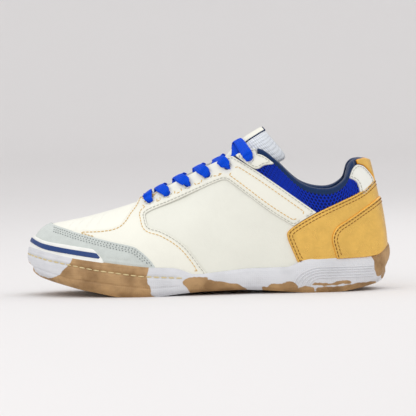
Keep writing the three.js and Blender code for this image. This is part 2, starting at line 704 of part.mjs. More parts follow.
// The binding stands proud of the mesh, and lies under the heel tab at the back.
const bindingOuter = (u) => (u > 16.1 ? baseLayer[1] - 2 * CLEAR : baseLayer[1] + 0.5);

function collarBinding(grow) {
  return bothSides([(u) => -foamDepth(u) - LINING - 2 * CLEAR - grow, (u) => bindingOuter(u) + grow], {
    us: grow ? [collarUs[0] - 0.05, ...collarUs] : collarUs,
    v0: (u, side) => vAtDepth(side, u, BINDING_HEIGHT + grow),
    v1: () => 1,
    columns: 2,
  });
}

const binding = collarBinding(0);
const bindingEnvelope = collarBinding(CLEAR + 0.2).add(binding);
const paddingDepth = (u) => 34 - 14 * Math.max(0, 1 - Math.abs(u - 14) / 2.5);

function collarPad(layer) {
  return bothSides(layer, {
    us: padUs,
    v0: (u, side) => vAtDepth(side, u, paddingDepth(u)),
    v1: (u, side) => vAtDepth(side, u, BINDING_HEIGHT + CLEAR),
    columns: 4,
  });
}

const bulge = (u, v) => {
  const top = vAtDepth(LATERAL, u, BINDING_HEIGHT);
  const low = vAtDepth(LATERAL, u, paddingDepth(u));
  const t = Math.min(1, Math.max(0, (v - low) / (top - low)));
  return 0.25 + 0.75 * Math.min(1, Math.sin(Math.PI * Math.min(0.5, t * 0.85)) * 1.1);
};
const collarFoam = collarPad([(u, v) => -Math.max(1.3, foamDepth(u) * bulge(u, v)), -CLEAR]);
const collarLining = collarPad([
  (u, v) => -Math.max(1.3, foamDepth(u) * bulge(u, v)) - CLEAR - LINING,
  (u, v) => -Math.max(1.3, foamDepth(u) * bulge(u, v)) - CLEAR,
]);
const paddingEnvelope = bothSides([-FOAM - 4, 0.15], {
  us: [padUs[0] - 0.05, ...padUs],
  v0: (u, side) => vAtDepth(side, u, paddingDepth(u) + CLEAR),
  columns: 4,
});

// ---------------------------------------------------------------- panels
const behind = (x) => [[x, 0], [x, 130], [160, 130], [160, 0]];
const ahead = (x) => [[-160, 0], [x, 0], [x, 130], [-160, 130]];
const VAMP_END = -56;
const LINING_END = -38;

function panel(layer, outline, options = {}) {
  return shell(layer, options.side).intersect(prism(outline, { grow: -CLEAR / 2, ...options }));
}

const vamp = panel(baseLayer, ahead(VAMP_END));
const meshRegion = closeUp(meshEdge);
function sidePanel(side) {
  return panel(baseLayer, behind(VAMP_END), { side })
    .subtract(prism(meshRegion, { grow: CLEAR / 2 }))
    .subtract(eyeletHoles);
}

function collarMesh(side) {
  return panel(baseLayer, meshRegion, { side }).subtract(bindingEnvelope).subtract(eyeletHoles);
}

const toeRegion = [[-160, 0], [-160, 64], ...suedeEdge, [-40.8, 0]];
const toeGuard = panel(overlayLayer, toeRegion).subtract(soleEnvelope);
const counterRegion = [...closeDown(counterEdge)];
const coverRegion = [...closeDown(coverEdge)];

function quarterOverlay(side) {
  const region = [...vampSeam, [17, 130], ...strapEdge.slice(1), [92, 0], [-106, 0]];
  return panel(overlayLayer, region, { side })
    .subtract(prism(panelWindow))
    .subtract(prism(toeRegion, { grow: CLEAR / 2 }))
    .subtract(prism(counterRegion, { grow: CLEAR / 2 }))
    .subtract(soleEnvelope)
    .subtract(bindingEnvelope)
    .subtract(eyeletHoles);
}

function goldCounter(side) {
  return panel(overlayLayer, counterRegion, { side })
    .subtract(soleEnvelope)
    .subtract(prism(closeDown(strapEnd)));
}

const counterCover = panel(topLayer, coverRegion).subtract(soleEnvelope);
const foxingRegion = closeDown(foxingEdge);
const toeFoxing = panel(topLayer, foxingRegion).subtract(soleEnvelope);
const stripeLayer = [topLayer[1] + CLEAR, topLayer[1] + CLEAR + 0.6];
const toeStripe = panel(stripeLayer, [...stripeTop, ...stripeBottom]);

function eyeletTab(side) {
  return panel(topLayer, topTab, { side }).subtract(bindingEnvelope).subtract(eyeletHoles);
}

function whiteHeelTab(side) {
  return panel(overlayLayer, heelTab, { side }).subtract(bindingEnvelope);
}

const goldTopTab = panel(overlayLayer, heelTopTab)
  .subtract(prism(counterRegion, { grow: CLEAR / 2 }));

const toePuff = panel(stiffenerLayer, ahead(-104));
const heelCounter = panel(stiffenerLayer, [[84, 0], [84, 44], [100, 56], [160, 60], [160, 0]])
  .subtract(paddingEnvelope);

function eyestayBacker(side) {
  return sidePatch(side, [-STIFFENER, -CLEAR], {
    us: evenly(THROAT + 0.1, COLLAR - 0.3, 8),
    v0: (u) => vAtDepth(side, u, 15),
    columns: 3,
  }).subtract(eyeletHoles);
}

const vampLining = panel(liningLayer, ahead(LINING_END)).subtract(eyeletHoles);
function quarterLining(side) {
  return panel(liningLayer, behind(LINING_END), { side })
    .subtract(paddingEnvelope)
    .subtract(bindingEnvelope)
    .subtract(eyeletHoles);
}

// ---------------------------------------------------------------- materials and assembly
const finish = (color, roughness, metalness = 0) => ({ color, roughness, metalness });
const creamLeather = finish(0xe8e8de, 0.45);
const creamPanel = finish(0xdcdcd2, 0.5);
const paleSuede = finish(0xc6cecd, 0.95);
const goldLeather = finish(0xdcb460, 0.35, 0.5);
const blueMesh = finish(0x0a34a8, 0.85);
const navyTextile = finish(0x123b66, 0.9);
const blueLace = finish(0x0a4bd8, 0.8);
const gumRubber = finish(0xa67f4c, 0.6);
const whiteRubber = finish(0xd6d8df, 0.55);
const foxingWhite = finish(0xebebe5, 0.5);
const whiteFoam = finish(0xe6e6e0, 0.9);
const fibreBoard = finish(0xb59a72, 0.9);
const paleTextile = finish(0xe0e5ec, 0.95);
const plastic = finish(0x1c3f9c, 0.4);
const steel = finish(0x9a9da2, 0.35, 0.9);
const creamThread = finish(0xe6d8b0, 0.8);

const shoe = new THREE.Group();

// The toe end of the shoe turns in towards the other foot.
function swing(x) {
  const t = Math.max(0, (60 - x) / 209);
  return TOE_SWING * t * t;
}

function addPiece(name, solid, look) {
  const geometry = toGeometry(mainBody(solid));
  const position = geometry.getAttribute("position");
  for (let i = 0; i < position.count; i++) {
    position.setY(i, position.getY(i) + swing(position.getX(i)));
  }
  const mesh = new THREE.Mesh(geometry, new THREE.MeshStandardMaterial(look));
  mesh.name = name;
  shoe.add(mesh);
}

addPiece("cupsole", cupsole, gumRubber);
addPiece("midsole", midsole, whiteFoam);
addPiece("shank", shank, steel);
addPiece("insole_board", insoleBoard, fibreBoard);
addPiece("sockliner", sockliner, navyTextile);
addPiece("sidewall_thread", sidewallThread(), creamThread);
addPiece("vamp", vamp, creamLeather);
addPiece("vamp_lining", vampLining, paleTextile);
addPiece("toe_puff", toePuff, fibreBoard);
addPiece("toe_guard", toeGuard, paleSuede);
addPiece("toe_foxing", toeFoxing, foxingWhite);
addPiece("toe_stripe", toeStripe, navyTextile);
addPiece("heel_counter", heelCounter, fibreBoard);
addPiece("counter_cover", counterCover, goldLeather);
addPiece("heel_top_tab", goldTopTab, goldLeather);
addPiece("collar_foam", collarFoam, whiteFoam);
addPiece("collar_lining", collarLining, navyTextile);
addPiece("collar_binding", binding, navyTextile);
for (const [name, side] of Object.entries(SIDES)) {
  addPiece(`side_panel_${name}`, sidePanel(side), creamPanel);
  addPiece(`quarter_overlay_${name}`, quarterOverlay(side), creamLeather);
  addPiece(`quarter_lining_${name}`, quarterLining(side), paleTextile);
  addPiece(`eyestay_backer_${name}`, eyestayBacker(side), fibreBoard);
  addPiece(`eyelet_tab_${name}`, eyeletTab(side), creamLeather);
  addPiece(`collar_mesh_${name}`, collarMesh(side), blueMesh);
  addPiece(`gold_strap_${name}`, goldCounter(side), goldLeather);
  addPiece(`heel_tab_${name}`, whiteHeelTab(side), foxingWhite);
  addPiece(`aglet_${name}`, aglet(side), plastic);
}
addPiece("tongue_cover", tongueCover, creamLeather);
addPiece("tongue_foam", tongueFoam, whiteFoam);
addPiece("tongue_lining", tongueLining, paleTextile);
addPiece("lace", tube(laceRoute, LACE_RADIUS, 6, LACE_STEPS), blueLace);

// The origin is the middle of the shoe's box, on the ground.
const box = new THREE.Box3().setFromObject(shoe);
const middle = box.getCenter(new THREE.Vector3());
shoe.position.set(-middle.x, -middle.y, -box.min.z);

export default shoe;
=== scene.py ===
"""Looks of a low court shoe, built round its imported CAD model.

The upper is one smooth last surface. Every leather panel is the part of a layer over that surface inside a
side-view outline, with rounded cut edges, and the seams, knit, ribs and tread follow the same surface.
"""

import math

import bmesh
import bpy
import numpy as np
from bpy.props import FloatProperty, FloatVectorProperty, PointerProperty
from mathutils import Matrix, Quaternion, Vector


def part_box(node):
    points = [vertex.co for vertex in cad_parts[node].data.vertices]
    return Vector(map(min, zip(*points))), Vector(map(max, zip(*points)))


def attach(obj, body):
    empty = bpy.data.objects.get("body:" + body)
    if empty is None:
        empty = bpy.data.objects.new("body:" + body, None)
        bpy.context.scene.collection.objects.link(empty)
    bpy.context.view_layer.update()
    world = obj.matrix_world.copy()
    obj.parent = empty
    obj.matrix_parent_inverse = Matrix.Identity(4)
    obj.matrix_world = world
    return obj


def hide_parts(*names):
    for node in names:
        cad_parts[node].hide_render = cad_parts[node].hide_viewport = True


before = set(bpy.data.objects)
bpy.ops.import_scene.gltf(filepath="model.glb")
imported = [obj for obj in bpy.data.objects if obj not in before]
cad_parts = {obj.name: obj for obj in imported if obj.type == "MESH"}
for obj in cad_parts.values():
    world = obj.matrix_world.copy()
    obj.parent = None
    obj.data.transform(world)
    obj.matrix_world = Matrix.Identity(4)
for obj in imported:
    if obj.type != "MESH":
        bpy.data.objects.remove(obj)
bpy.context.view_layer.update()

bl_info = {
    "name": "Court Shoe",
    "version": (1, 0, 0),
    "blender": (4, 5, 0),
    "location": "View3D > Sidebar > Court Shoe",
    "description": "Leather, knit, suede and marbled rubber pieces of a low court shoe",
    "category": "Object",
}

# ---------------------------------------------------------------- sizes of the shoe, in millimetres
MM = 0.001
SOLE_LENGTH, DRAWN_LENGTH = 297.8, 297.8
LENGTH_SCALE = SOLE_LENGTH / DRAWN_LENGTH
TOE_SWING = 7.0
WALL = 5.5
LATERAL, MEDIAL = -1, 1
SIDE_NAMES = {LATERAL: "lateral", MEDIAL: "medial"}
LINING_LAYER = (-2.3, -1.3)
BASE_LAYER = (0.0, 1.7)
OVERLAY_LAYER = (1.5, 3.4)
TOP_LAYER = (1.6, 4.6)
HEEL_TAB_LAYER = (1.3, 3.3)
STRAP_LAYER, COVER_LAYER = (0.6, 3.4), (2.8, 4.8)
SUEDE_LAYER, FOXING_LAYER, STRIPE_LAYER = (1.3, 3.4), (3.0, 4.9), (4.6, 5.7)
KNIT_LAYER = (0.0, 1.15)
THROAT, COLLAR = 6, 11
EYELETS = 6
EYELET_RADIUS = 2.4
EYELET_DEPTH = 7.5
BINDING_HEIGHT = 4.5

# Round the cupsole from toe to heel: x, lateral half-width, medial half-width.
SOLE_STATIONS = np.array([
    (-148.9, 0, 0), (-143.5, 17, 16.5), (-131, 31.5, 30.5), (-111, 43, 40.5), (-87, 50.5, 46),
    (-62, 53, 48), (-45, 52, 46.5), (-28, 49, 43), (-7, 45, 38.5), (16, 41, 34.5),
    (38, 38.8, 32.8), (56, 37.8, 32.8), (72, 37, 33.5), (88, 36.5, 34.5), (105, 34.8, 34),
    (121, 30.5, 30.3), (134, 22.5, 22.5), (144, 12.5, 12.5), (148.9, 0, 0),
])
LAST = len(SOLE_STATIONS) - 1
FEATHER_HEIGHTS = np.array(
    [28, 27, 24.5, 21, 18, 16, 15, 14.5, 12.5, 12, 12.5, 13.5, 16, 18, 19, 19.5, 20, 20.5, 20.5]
)
# Upper sections: top edge x, half-width, z, its handle, and the handle of the feather line.
SECTION_STATIONS = np.array([
    (-119, 0, 58, -14, 0, -0.5, -0.1, 0, 20),
    (-117, 0, 58.5, -7, 12, -1, 0, 1, 20),
    (-111, 0, 59.7, -3, 18, -1.5, 0, 1.5, 20),
    (-99, 0, 62, -1, 22, -2, 0, 1.5, 20),
    (-80, 0, 66.8, 0, 24, -3, 0, 1, 22),
    (-62, 0, 72, 0, 24, -4, 0, 0.5, 25),
    (-52, 7, 76, 0, 20, -9, 0, 0, 28),
    (-40, 12.5, 82, 1, 17, -14, 0, 0, 28),
    (-19, 16, 93, 2, 15, -20, 0, 0, 30),
    (6, 20, 105.5, 2, 11, -26, 0, 0.5, 30),
    (28, 24.5, 113.5, 2, 9, -28, 0, 1, 32),
    (42, 26.5, 117, 2, 8, -28, 0, 1, 32),
    (54, 29, 109.5, 2, 5, -26, 0, 1.5, 30),
    (76, 31, 89, 1, 4, -20, 0, 2, 24),
    (97, 29.5, 83.8, 0, 3.5, -18, 1, 2, 22),
    (111, 24, 90.5, 1, 4, -22, 3, 2, 24),
    (117.5, 18, 104.5, 3, 4, -26, 5, 2, 27),
    (125, 10.5, 107.5, 5, 3, -27, 4, 1, 30),
    (130.5, 0, 106.3, 6.5, 0, -26.5, -0.9, 0, 30),
])
SOLE_BOTTOM = np.array([
    (-149, 26), (-145.3, 20.5), (-138.8, 16), (-127.9, 12.6), (-106.3, 6.6), (-84.7, 2.2), (-74, 0),
    (-38, 0), (-24, 1.6), (-6, 3), (29, 3.6), (44.7, 2.8), (66.2, 1), (78, 0), (108, 0), (123.8, 2.6),
    (136.5, 5.6), (141, 7.2), (145.2, 12.3), (149, 25),
])
SOLE_TOP = np.array([
    (-149, 40), (-128.5, 35.5), (-110.3, 31.7), (-83.4, 27.8), (-63.8, 25.2), (-48.2, 23.5),
    (-27, 22.6), (-20.1, 20.4), (-12.7, 17), (-1.2, 17.4), (31.4, 20.6), (66, 21), (72.8, 25),
    (80, 27.3), (104.7, 28.4), (130.9, 29), (141, 30.5), (145.6, 36), (149, 38.5),
])
WALL_SHAPE = np.array([(0, 4.5), (0.14, 1.2), (0.4, 0.1), (0.62, 0), (0.92, 0.8), (1, 1.8)])

# Side-view outlines of the panels: x, z.
VAMP_SEAM = [
    (-112, 54.5), (-90, 54.6), (-76, 56.6), (-69.3, 60.9), (-64.4, 67.8), (-59.3, 74.3), (-54.5, 84),
]
SUEDE_EDGE = [
    (-136, 63.5), (-127, 58.9), (-115.4, 55.4), (-107.5, 52.9), (-91.9, 48.7), (-76.3, 44.8), (-61.1, 41.3),
    (-55.4, 38), (-49.8, 33.2), (-45.3, 28), (-40.8, 21),
]
FOXING_EDGE = [
    (-150, 51), (-142.6, 48.9), (-133.5, 45.8), (-117.9, 43.5), (-96.9, 40.2), (-93.3, 39.3), (-89.3, 35.3),
    (-86.7, 32.3), (-83.7, 26),
]
STRIPE_TOP = [(-150, 48.2), (-144.8, 46.4), (-136.2, 43), (-118, 39.5), (-91, 35.4)]
STRIPE_BOTTOM = [(-88.5, 32.4), (-112.8, 36.1), (-133.6, 39.6), (-145, 44.1), (-150, 45.6)]
WINDOW_TOP = [(-50.5, 63), (-49.1, 67.8), (-28, 76.2), (-10, 83.9), (7.8, 91.3), (14.1, 92.8), (20.3, 89.5),
              (47.4, 68.5), (67.7, 55.2), (84, 46)]
WINDOW_FRONT = [(-1, 10), (-1.8, 17.9), (-6.2, 23.8), (-11.8, 31.9), (-18.5, 40.2), (-27.1, 47.2),
                (-37.9, 53.2), (-48, 56.6), (-50.5, 63)]
STRAP_EDGE = [(17, 125), (19.6, 113), (38.4, 101.2), (54, 90.3), (70, 78.6), (92, 62.5)]
TOP_TAB = [
    (20, 119), (21.8, 113.2), (38.3, 101.7), (46.7, 104.3), (56.4, 105.6), (60, 109), (52, 122), (30, 124),
]
COUNTER_EDGE = [
    (150, 97), (138.7, 91.2), (125.3, 81.2), (107.9, 73.5), (90, 65.7), (74, 57), (65.2, 50.6), (64, 45.7),
    (67.1, 36.9), (74, 20),
]
COVER_EDGE = [(150, 81), (143, 76.8), (114.3, 58.9), (104.4, 52.5), (100.4, 43.9), (101.9, 35.2), (106, 20)]
HEEL_TAB = [
    (118.8, 103), (123.4, 103.1), (128.6, 101.2), (133.1, 96.5), (136.6, 91.7), (137.5, 86), (127, 77),
    (123.1, 87), (119.7, 90.5), (114.9, 92.3),
]
HEEL_TOP_TAB = [
    (120.5, 112), (123.4, 103.5), (128.8, 101.6), (133.4, 96.9), (136.4, 92.6), (136.4, 84), (150, 84),
    (150, 112),
]
COLLAR_KNIT_EDGE = [
    (12, 140), (15.5, 106), (34, 96), (48, 84.5), (62, 75.5), (70, 68.5), (92, 56), (160, 56), (160, 140),
]
COLLAR_YARN_EDGE = [
    (12, 140), (15.5, 108), (34, 98.5), (48, 87), (62, 78), (70, 71.4), (90, 62.5), (125, 80), (150, 92),
    (150, 140),
]
UNDER_STRAP_EDGE = [
    (-60, -20), (92, -20), (96, 60), (70, 74), (48, 90), (34, 101), (15, 112), (12, 140), (-60, 140),
]
EYELET_X = [-45.5, -31.8, -15.2, 1, 17.2, 35.5]
# The tongue up its centre line: x, z, half-width, arch depth, thickness.
TONGUE_STATIONS = np.array([
    (-60, 65, 14, 4, 3.6), (-45, 71, 15.5, 6.5, 4), (-30, 79, 17.5, 9, 5), (-15, 88, 19.5, 12, 6),
    (0, 97.5, 21.5, 15, 7), (12, 108, 22.5, 19, 8), (28, 124, 22.5, 23, 9), (40, 132, 22.5, 26, 8.5),
    (45.5, 134.8, 22.5, 27, 5),
])

# Borders between gum and white rubber on the wall of the cupsole: x, z. Inside each outline is gum.
GUM_AREAS = [
    [(-109.6, 31.9), (-112.8, 27.5), (-119.2, 20.6), (-123.2, 17.5), (-129.5, 15.8), (-134.2, 15.9),
     (-139.5, 18.3), (-144.5, 22.6), (-147, 27), (-152, 30), (-152, -4), (-47, -4), (-47, 1.3), (-47.5, 7.4),
     (-49.7, 10.8), (-50.1, 16.6), (-48.2, 23.5), (-48, 34), (-108, 42)],
    [(-21.1, 12.6), (-13.3, 15), (-0.9, 14.7), (-0.7, 12.7), (15.6, 9.9), (23.3, 9), (28, 6), (30.6, 3.6),
     (31, -3), (-9, -3), (-16.9, 5.6), (-20.3, 9.1)],
    [(43.2, 3.6), (43.4, 5.5), (47.3, 5.6), (50.5, 7.6), (58.4, 8), (67.3, 10.2), (71, 5.9), (72.1, 4),
     (72.3, -3), (43, -3)],
    [(73.8, 5.1), (84.6, 4.9), (85.2, 1.2), (86.8, 1.2), (87.5, 4.3), (106.6, 5), (118, 6.2), (131.3, 7.4),
     (136.1, 5.9), (137, -3), (73.6, -3)],
    [(84, 6), (86.3, 8.3), (96, 7.2), (102.9, 8), (106.4, 9.3), (112.7, 9.5), (116.1, 7.1), (110.9, 6.3),
     (100.6, 5.6)],
    [(130.9, 29.5), (133.7, 25.7), (134.8, 20.6), (135.5, 15.4), (137.7, 11), (145.2, 14), (153, 15),
     (153, 44), (142, 44), (132, 36)],
    [(140.5, 8), (142.5, 9.8), (144.5, 9), (143, 7)],
]
THREAD_LINE = np.array([(-150, 34.3), (-132.3, 30.1), (-92.1, 22.3), (-55.3, 16.9), (-25, 14.8)])
GROOVE_LINE = np.array([(-150, 25.4), (-122.6, 17.6), (-113.2, 15.4), (-73.1, 9.8), (-48, 6.8), (-21.5, 8)])


# ---------------------------------------------------------------- curves and the last surface
def catmull(a, b, c, d, t):
    bend, twist = 2 * a - 5 * b + 4 * c - d, 3 * b - a - 3 * c + d
    return 0.5 * (2 * b + (c - a) * t + bend * t * t + twist * t ** 3)


def lookup(profile, x):
    return np.interp(x, profile[:, 0], profile[:, 1])


def smooth_profile(profile, x):
    """The same line of points with its corners eased over a few millimetres."""
    return sum(lookup(profile, x + shift) for shift in (-3, -1.5, 0, 1.5, 3)) / 5


def mirrored(rows):
    """Rows of both sides, each with a mirrored neighbour before the toe and after the heel."""
    turned = {side: r * np.array([1, -1] + [1] * (r.shape[1] - 2)) for side, r in rows.items()}
    return {side: np.vstack([turned[-side][1], rows[side], turned[-side][LAST - 1]]) for side in rows}


def along(rows, u):
    i = np.clip(np.floor(u).astype(int), 0, LAST - 1)
    t = (u - i)[:, None]
    return catmull(rows[i], rows[i + 1], rows[i + 2], rows[i + 3], t)


SOLE_ROWS = mirrored({
    LATERAL: SOLE_STATIONS[:, [0, 1]] * (LENGTH_SCALE, 1),
    MEDIAL: SOLE_STATIONS[:, [0, 2]] * (LENGTH_SCALE, 1),
})


def sole_outline(side, u, inset):
    """Points of the sole's outline at u, set in by a distance: x and half-width."""
    u = np.atleast_1d(np.asarray(u, float))
    here = along(SOLE_ROWS[side], u)
    rows = SOLE_ROWS[side]
    tangent = along(rows, np.minimum(LAST, u + 0.02)) - along(rows, np.maximum(0, u - 0.02))
    tangent[u < 1e-6] = (0, 1)
    tangent[u > LAST - 1e-6] = (0, -1)
    tangent /= np.linalg.norm(tangent, axis=1)[:, None]
    x = here[:, 0] + tangent[:, 1] * inset
    return np.column_stack([x, np.maximum(0, here[:, 1] - tangent[:, 0] * inset)])


def section_rows():
    stations = np.arange(LAST + 1.0)
    feather = {side: np.column_stack([sole_outline(side, stations, WALL), FEATHER_HEIGHTS])
               for side in (LATERAL, MEDIAL)}
    handle = {s: feather[s] + SECTION_STATIONS[:, 6:9] for s in feather}
    edge = SECTION_STATIONS[:, 0:3]
    edge_handle = edge + SECTION_STATIONS[:, 3:6]
    both = [{s: rows for s in feather} for rows in (edge_handle, edge)]
    return [mirrored(rows) for rows in (feather, handle, *both)]


SECTION_ROWS = section_rows()


def last_point(side, u, v):
    """Points of the last surface: u runs from toe (0) to heel, v from the feather line (0) to the top (1)."""
    s = 1 - v
    weights = (s ** 3, 3 * s * s * v, 3 * s * v * v, v ** 3)
    point = sum(along(rows[side], u) * w[:, None] for rows, w in zip(SECTION_ROWS, weights))
    point[:, 1] = np.maximum(0, point[:, 1])
    point[(u < 1e-6) | (u > LAST - 1e-6), 1] = 0
    point[:, 1] *= side
    return point


def slope_normal(side, u, v):
    cu = np.clip(u, 0.03, LAST - 0.03)
    cv = np.clip(v, 0.01, 0.985)
    run = last_point(side, cu + 0.02, cv) - last_point(side, cu - 0.02, cv)
    up = last_point(side, cu, cv + 0.01) - last_point(side, cu, cv - 0.01)
    normal = np.cross(run, up) * (1 if side == LATERAL else -1)
    return normal / np.linalg.norm(normal, axis=1)[:, None]


def last_normal(side, u, v):
    """On the centre line both sides share one normal, without a sideways part."""
    normal = slope_normal(side, u, v)
    middle = np.abs(last_point(side, u, v)[:, 1]) < 1e-3
    if middle.any():
        shared = normal[middle] + slope_normal(-side, u[middle], v[middle])
        shared[:, 1] = 0
        normal[middle] = shared / np.linalg.norm(shared, axis=1)[:, None]
    return normal


def last_offset(side, u, v, distance):
    u, v = np.broadcast_arrays(np.atleast_1d(np.asarray(u, float)), np.atleast_1d(np.asarray(v, float)))
    distance = np.broadcast_to(np.asarray(distance, float), u.shape)
    return last_point(side, u, v) + last_normal(side, u, v) * distance[:, None]


SECTION_STEPS = 60


def section_depths(side, u):
    """Distance down the section from the top edge, at even steps of v from 0 to 1."""
    steps = np.linspace(0, 1, SECTION_STEPS + 1)
    points = last_point(side, np.full(SECTION_STEPS + 1, float(u)), steps)
    lengths = np.linalg.norm(np.diff(points, axis=0), axis=1)
    return steps, np.append(np.cumsum(lengths[::-1])[::-1], 0)


def v_at_depth(side, u, depth):
    """v of the point a distance down the section; a negative depth runs on past the top edge."""
    steps, depths = section_depths(side, u)
    if depth < 0:
        return 1 - depth / (depths[-2] * SECTION_STEPS)
    return float(np.interp(depth, depths[::-1], steps[::-1]))


def swing(x):
    return TOE_SWING * (np.maximum(0, 60 - x) / 209) ** 2


def frame_shift():
    """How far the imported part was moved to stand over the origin, from where its cupsole lies."""
    low, high = (np.array(c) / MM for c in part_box("cupsole"))
    u = np.arange(25) * 0.75
    outline = sole_outline(LATERAL, u, 0)
    across = (swing(outline[:, 0]) - outline[:, 1]).min()
    return high[0] - SOLE_STATIONS[LAST, 0] * LENGTH_SCALE, low[1] - across


SHIFT = frame_shift()


def placed(points):
    """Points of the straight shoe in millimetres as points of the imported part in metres."""
    points = np.array(points, float).reshape(-1, 3)
    moved = points + np.column_stack([np.full(len(points), SHIFT[0]), swing(points[:, 0]) + SHIFT[1],
                                      np.zeros(len(points))])
    return moved * MM


# ---------------------------------------------------------------- outlines
def eased(points, steps=5):
    """A smooth curve through a line of points."""
    p = np.array(points, float)
    p = np.vstack([2 * p[0] - p[1], p, 2 * p[-1] - p[-2]])
    t = np.arange(steps)[:, None] / steps
    runs = [catmull(p[i], p[i + 1], p[i + 2], p[i + 3], t) for i in range(len(p) - 3)]
    return np.vstack([*runs, p[-2]])


def closed_down(edge, floor=0.0):
    curve = eased(edge)
    return np.vstack([curve, (curve[-1, 0], floor), (curve[0, 0], floor)])


def inside_distance(outline, x, z):
    """Distance to a closed outline in the side view: positive inside it, negative outside."""
    a = np.asarray(outline, float)
    b = np.roll(a, -1, axis=0)
    run = b - a
    best = np.full(len(x), np.inf)
    inside = np.zeros(len(x), bool)
    for (ax, az), (dx, dz), bz in zip(a, run, b[:, 1]):
        length = max(dx * dx + dz * dz, 1e-9)
        t = np.clip(((x - ax) * dx + (z - az) * dz) / length, 0, 1)
        best = np.minimum(best, (x - ax - t * dx) ** 2 + (z - az - t * dz) ** 2)
        if az != bz:
            crosses = (az > z) != (bz > z)
            inside ^= crosses & (x < ax + (z - az) * dx / (bz - az))
    return np.sqrt(best) * np.where(inside, 1, -1)


TOE_AREA = np.vstack([eased(SUEDE_EDGE), [(-40.8, -20), (-170, -20), (-170, 80)]])
FOXING_AREA = closed_down(FOXING_EDGE, -20)
STRIPE_AREA = np.vstack([eased(STRIPE_TOP), eased(STRIPE_BOTTOM)])
WINDOW_AREA = np.vstack([eased(WINDOW_TOP), [(84, -20), (-1, -20)], eased(WINDOW_FRONT)])
OVERLAY_AREA = np.vstack([
    eased(VAMP_SEAM), [(-54.5, 140), (17, 140)], eased(STRAP_EDGE[1:]), [(92, -20), (-106, -20)],
])
COUNTER_AREA = closed_down(COUNTER_EDGE, -20)
COVER_AREA = closed_down(COVER_EDGE, -20)
TOP_TAB_AREA = np.vstack([eased(TOP_TAB[1:6]), TOP_TAB[6:], TOP_TAB[:1]])
HEEL_TAB_AREA = np.vstack([eased(HEEL_TAB[:5]), eased(HEEL_TAB[5:])])
HEEL_TOP_AREA = np.vstack([HEEL_TOP_TAB[:1], eased(HEEL_TOP_TAB[1:5]), HEEL_TOP_TAB[5:]])


# ---------------------------------------------------------------- surface patches
SIDE, U, V, DEPTH, RUN, INSIDE = range(6)
GRID_STEP = 1.35
GRID_ROWS = 62


def even_stations(step=GRID_STEP):
    """Values of u about a step apart on the surface, with every station among them."""
    values = []
    for i in range(LAST):
        ends = last_point(LATERAL, np.array([i, i + 0.5, i + 1.0]), np.full(3, 0.35))
        count = max(2, math.ceil(np.linalg.norm(np.diff(ends, axis=0), axis=1).sum() / step))
        values.extend(i + np.arange(count) / count)
    return np.array([*values, float(LAST)])


def grid_triangles(rows, columns):
    index = np.arange(rows * columns).reshape(rows, columns)
    a, b = index[:-1, :-1].ravel(), index[1:, :-1].ravel()
    c, d = index[1:, 1:].ravel(), index[:-1, 1:].ravel()
    return np.vstack([np.column_stack([a, b, c]), np.column_stack([a, c, d])])


def surface_grid(side):
    """Fine grid over one side of the last: rows of side, u, v, depth, run, inside, and its triangles."""
    us = even_stations()
    vs = np.linspace(0, 1, GRID_ROWS)
    middle = last_point(side, us, np.full(len(us), 0.35))
    run = np.append(0, np.cumsum(np.linalg.norm(np.diff(middle, axis=0), axis=1)))
    rows = []
    for u, distance in zip(us, run):
        steps, depths = section_depths(side, u)
        rows.append(np.column_stack([
            np.full(GRID_ROWS, side), np.full(GRID_ROWS, u), vs, np.interp(vs, steps, depths),
            np.full(GRID_ROWS, distance), np.zeros(GRID_ROWS),
        ]))
    triangles = grid_triangles(len(us), GRID_ROWS)
    return np.vstack(rows), (triangles if side == LATERAL else triangles[:, ::-1])


GRIDS = {side: surface_grid(side) for side in (LATERAL, MEDIAL)}


def split_at(data, triangles, values, level):
    """Adds points where values cross a level along the triangles' edges, and splits the triangles there."""
    s = values - level
    s = np.where(np.abs(s) < 0.04, 0, s)
    corner = s[triangles]
    crossing = [corner[:, i] * corner[:, (i + 1) % 3] < 0 for i in range(3)]
    edges = np.vstack([triangles[crossing[i]][:, [i, (i + 1) % 3]] for i in range(3)])
    if not len(edges):
        return data, triangles
    unique = np.unique(np.sort(edges, axis=1), axis=0)
    a, b = unique[:, 0], unique[:, 1]
    t = (s[a] / (s[a] - s[b]))[:, None]
    fresh = data[a] * (1 - t) + data[b] * t
    place = {(int(p), int(q)): len(data) + k for k, (p, q) in enumerate(unique)}
    count = np.sum(crossing, axis=0)
    kept = [triangles[count == 0]]
    extra = []
    for tri, signs in zip(triangles[count > 0], corner[count > 0]):
        at = lambda p, q: place[(min(p, q), max(p, q))]
        if (signs == 0).any():
            k = int(np.argmax(signs == 0))
            z, p, q = (int(tri[(k + j) % 3]) for j in range(3))
            m = at(p, q)
            extra += [(z, p, m), (z, m, q)]
        else:
            positive = signs > 0
            k = int(np.argmax(positive if positive.sum() == 1 else ~positive))
            lone, p, q = (int(tri[(k + j) % 3]) for j in range(3))
            lp, lq = at(lone, p), at(lone, q)
            extra += [(lone, lp, lq), (lp, p, q), (lp, q, lq)]
    return np.vstack([data, fresh]), np.vstack([*kept, np.array(extra, int)])


def tidy_patch(data, triangles):
    used, inverse = np.unique(triangles, return_inverse=True)
    return data[used], inverse.reshape(triangles.shape)


def patch_points(data, distance):
    points = np.zeros((len(data), 3))
    distance = np.broadcast_to(np.asarray(distance, float), len(data))
    for side in (LATERAL, MEDIAL):
        mine = data[:, SIDE] == side
        if mine.any():
            points[mine] = last_offset(side, data[mine, U], data[mine, V], distance[mine])
    return points


def weld(data, triangles):
    """Joins the two sides where they meet on the centre line."""
    base = patch_points(data, 0)
    key = np.round(base, 2)
    key[np.abs(base[:, 1]) > 1e-3] += np.arange(len(data))[np.abs(base[:, 1]) > 1e-3, None] * 1000 + 1e6
    _, first, inverse = np.unique(key, axis=0, return_index=True, return_inverse=True)
    return data[first], inverse.ravel()[triangles]


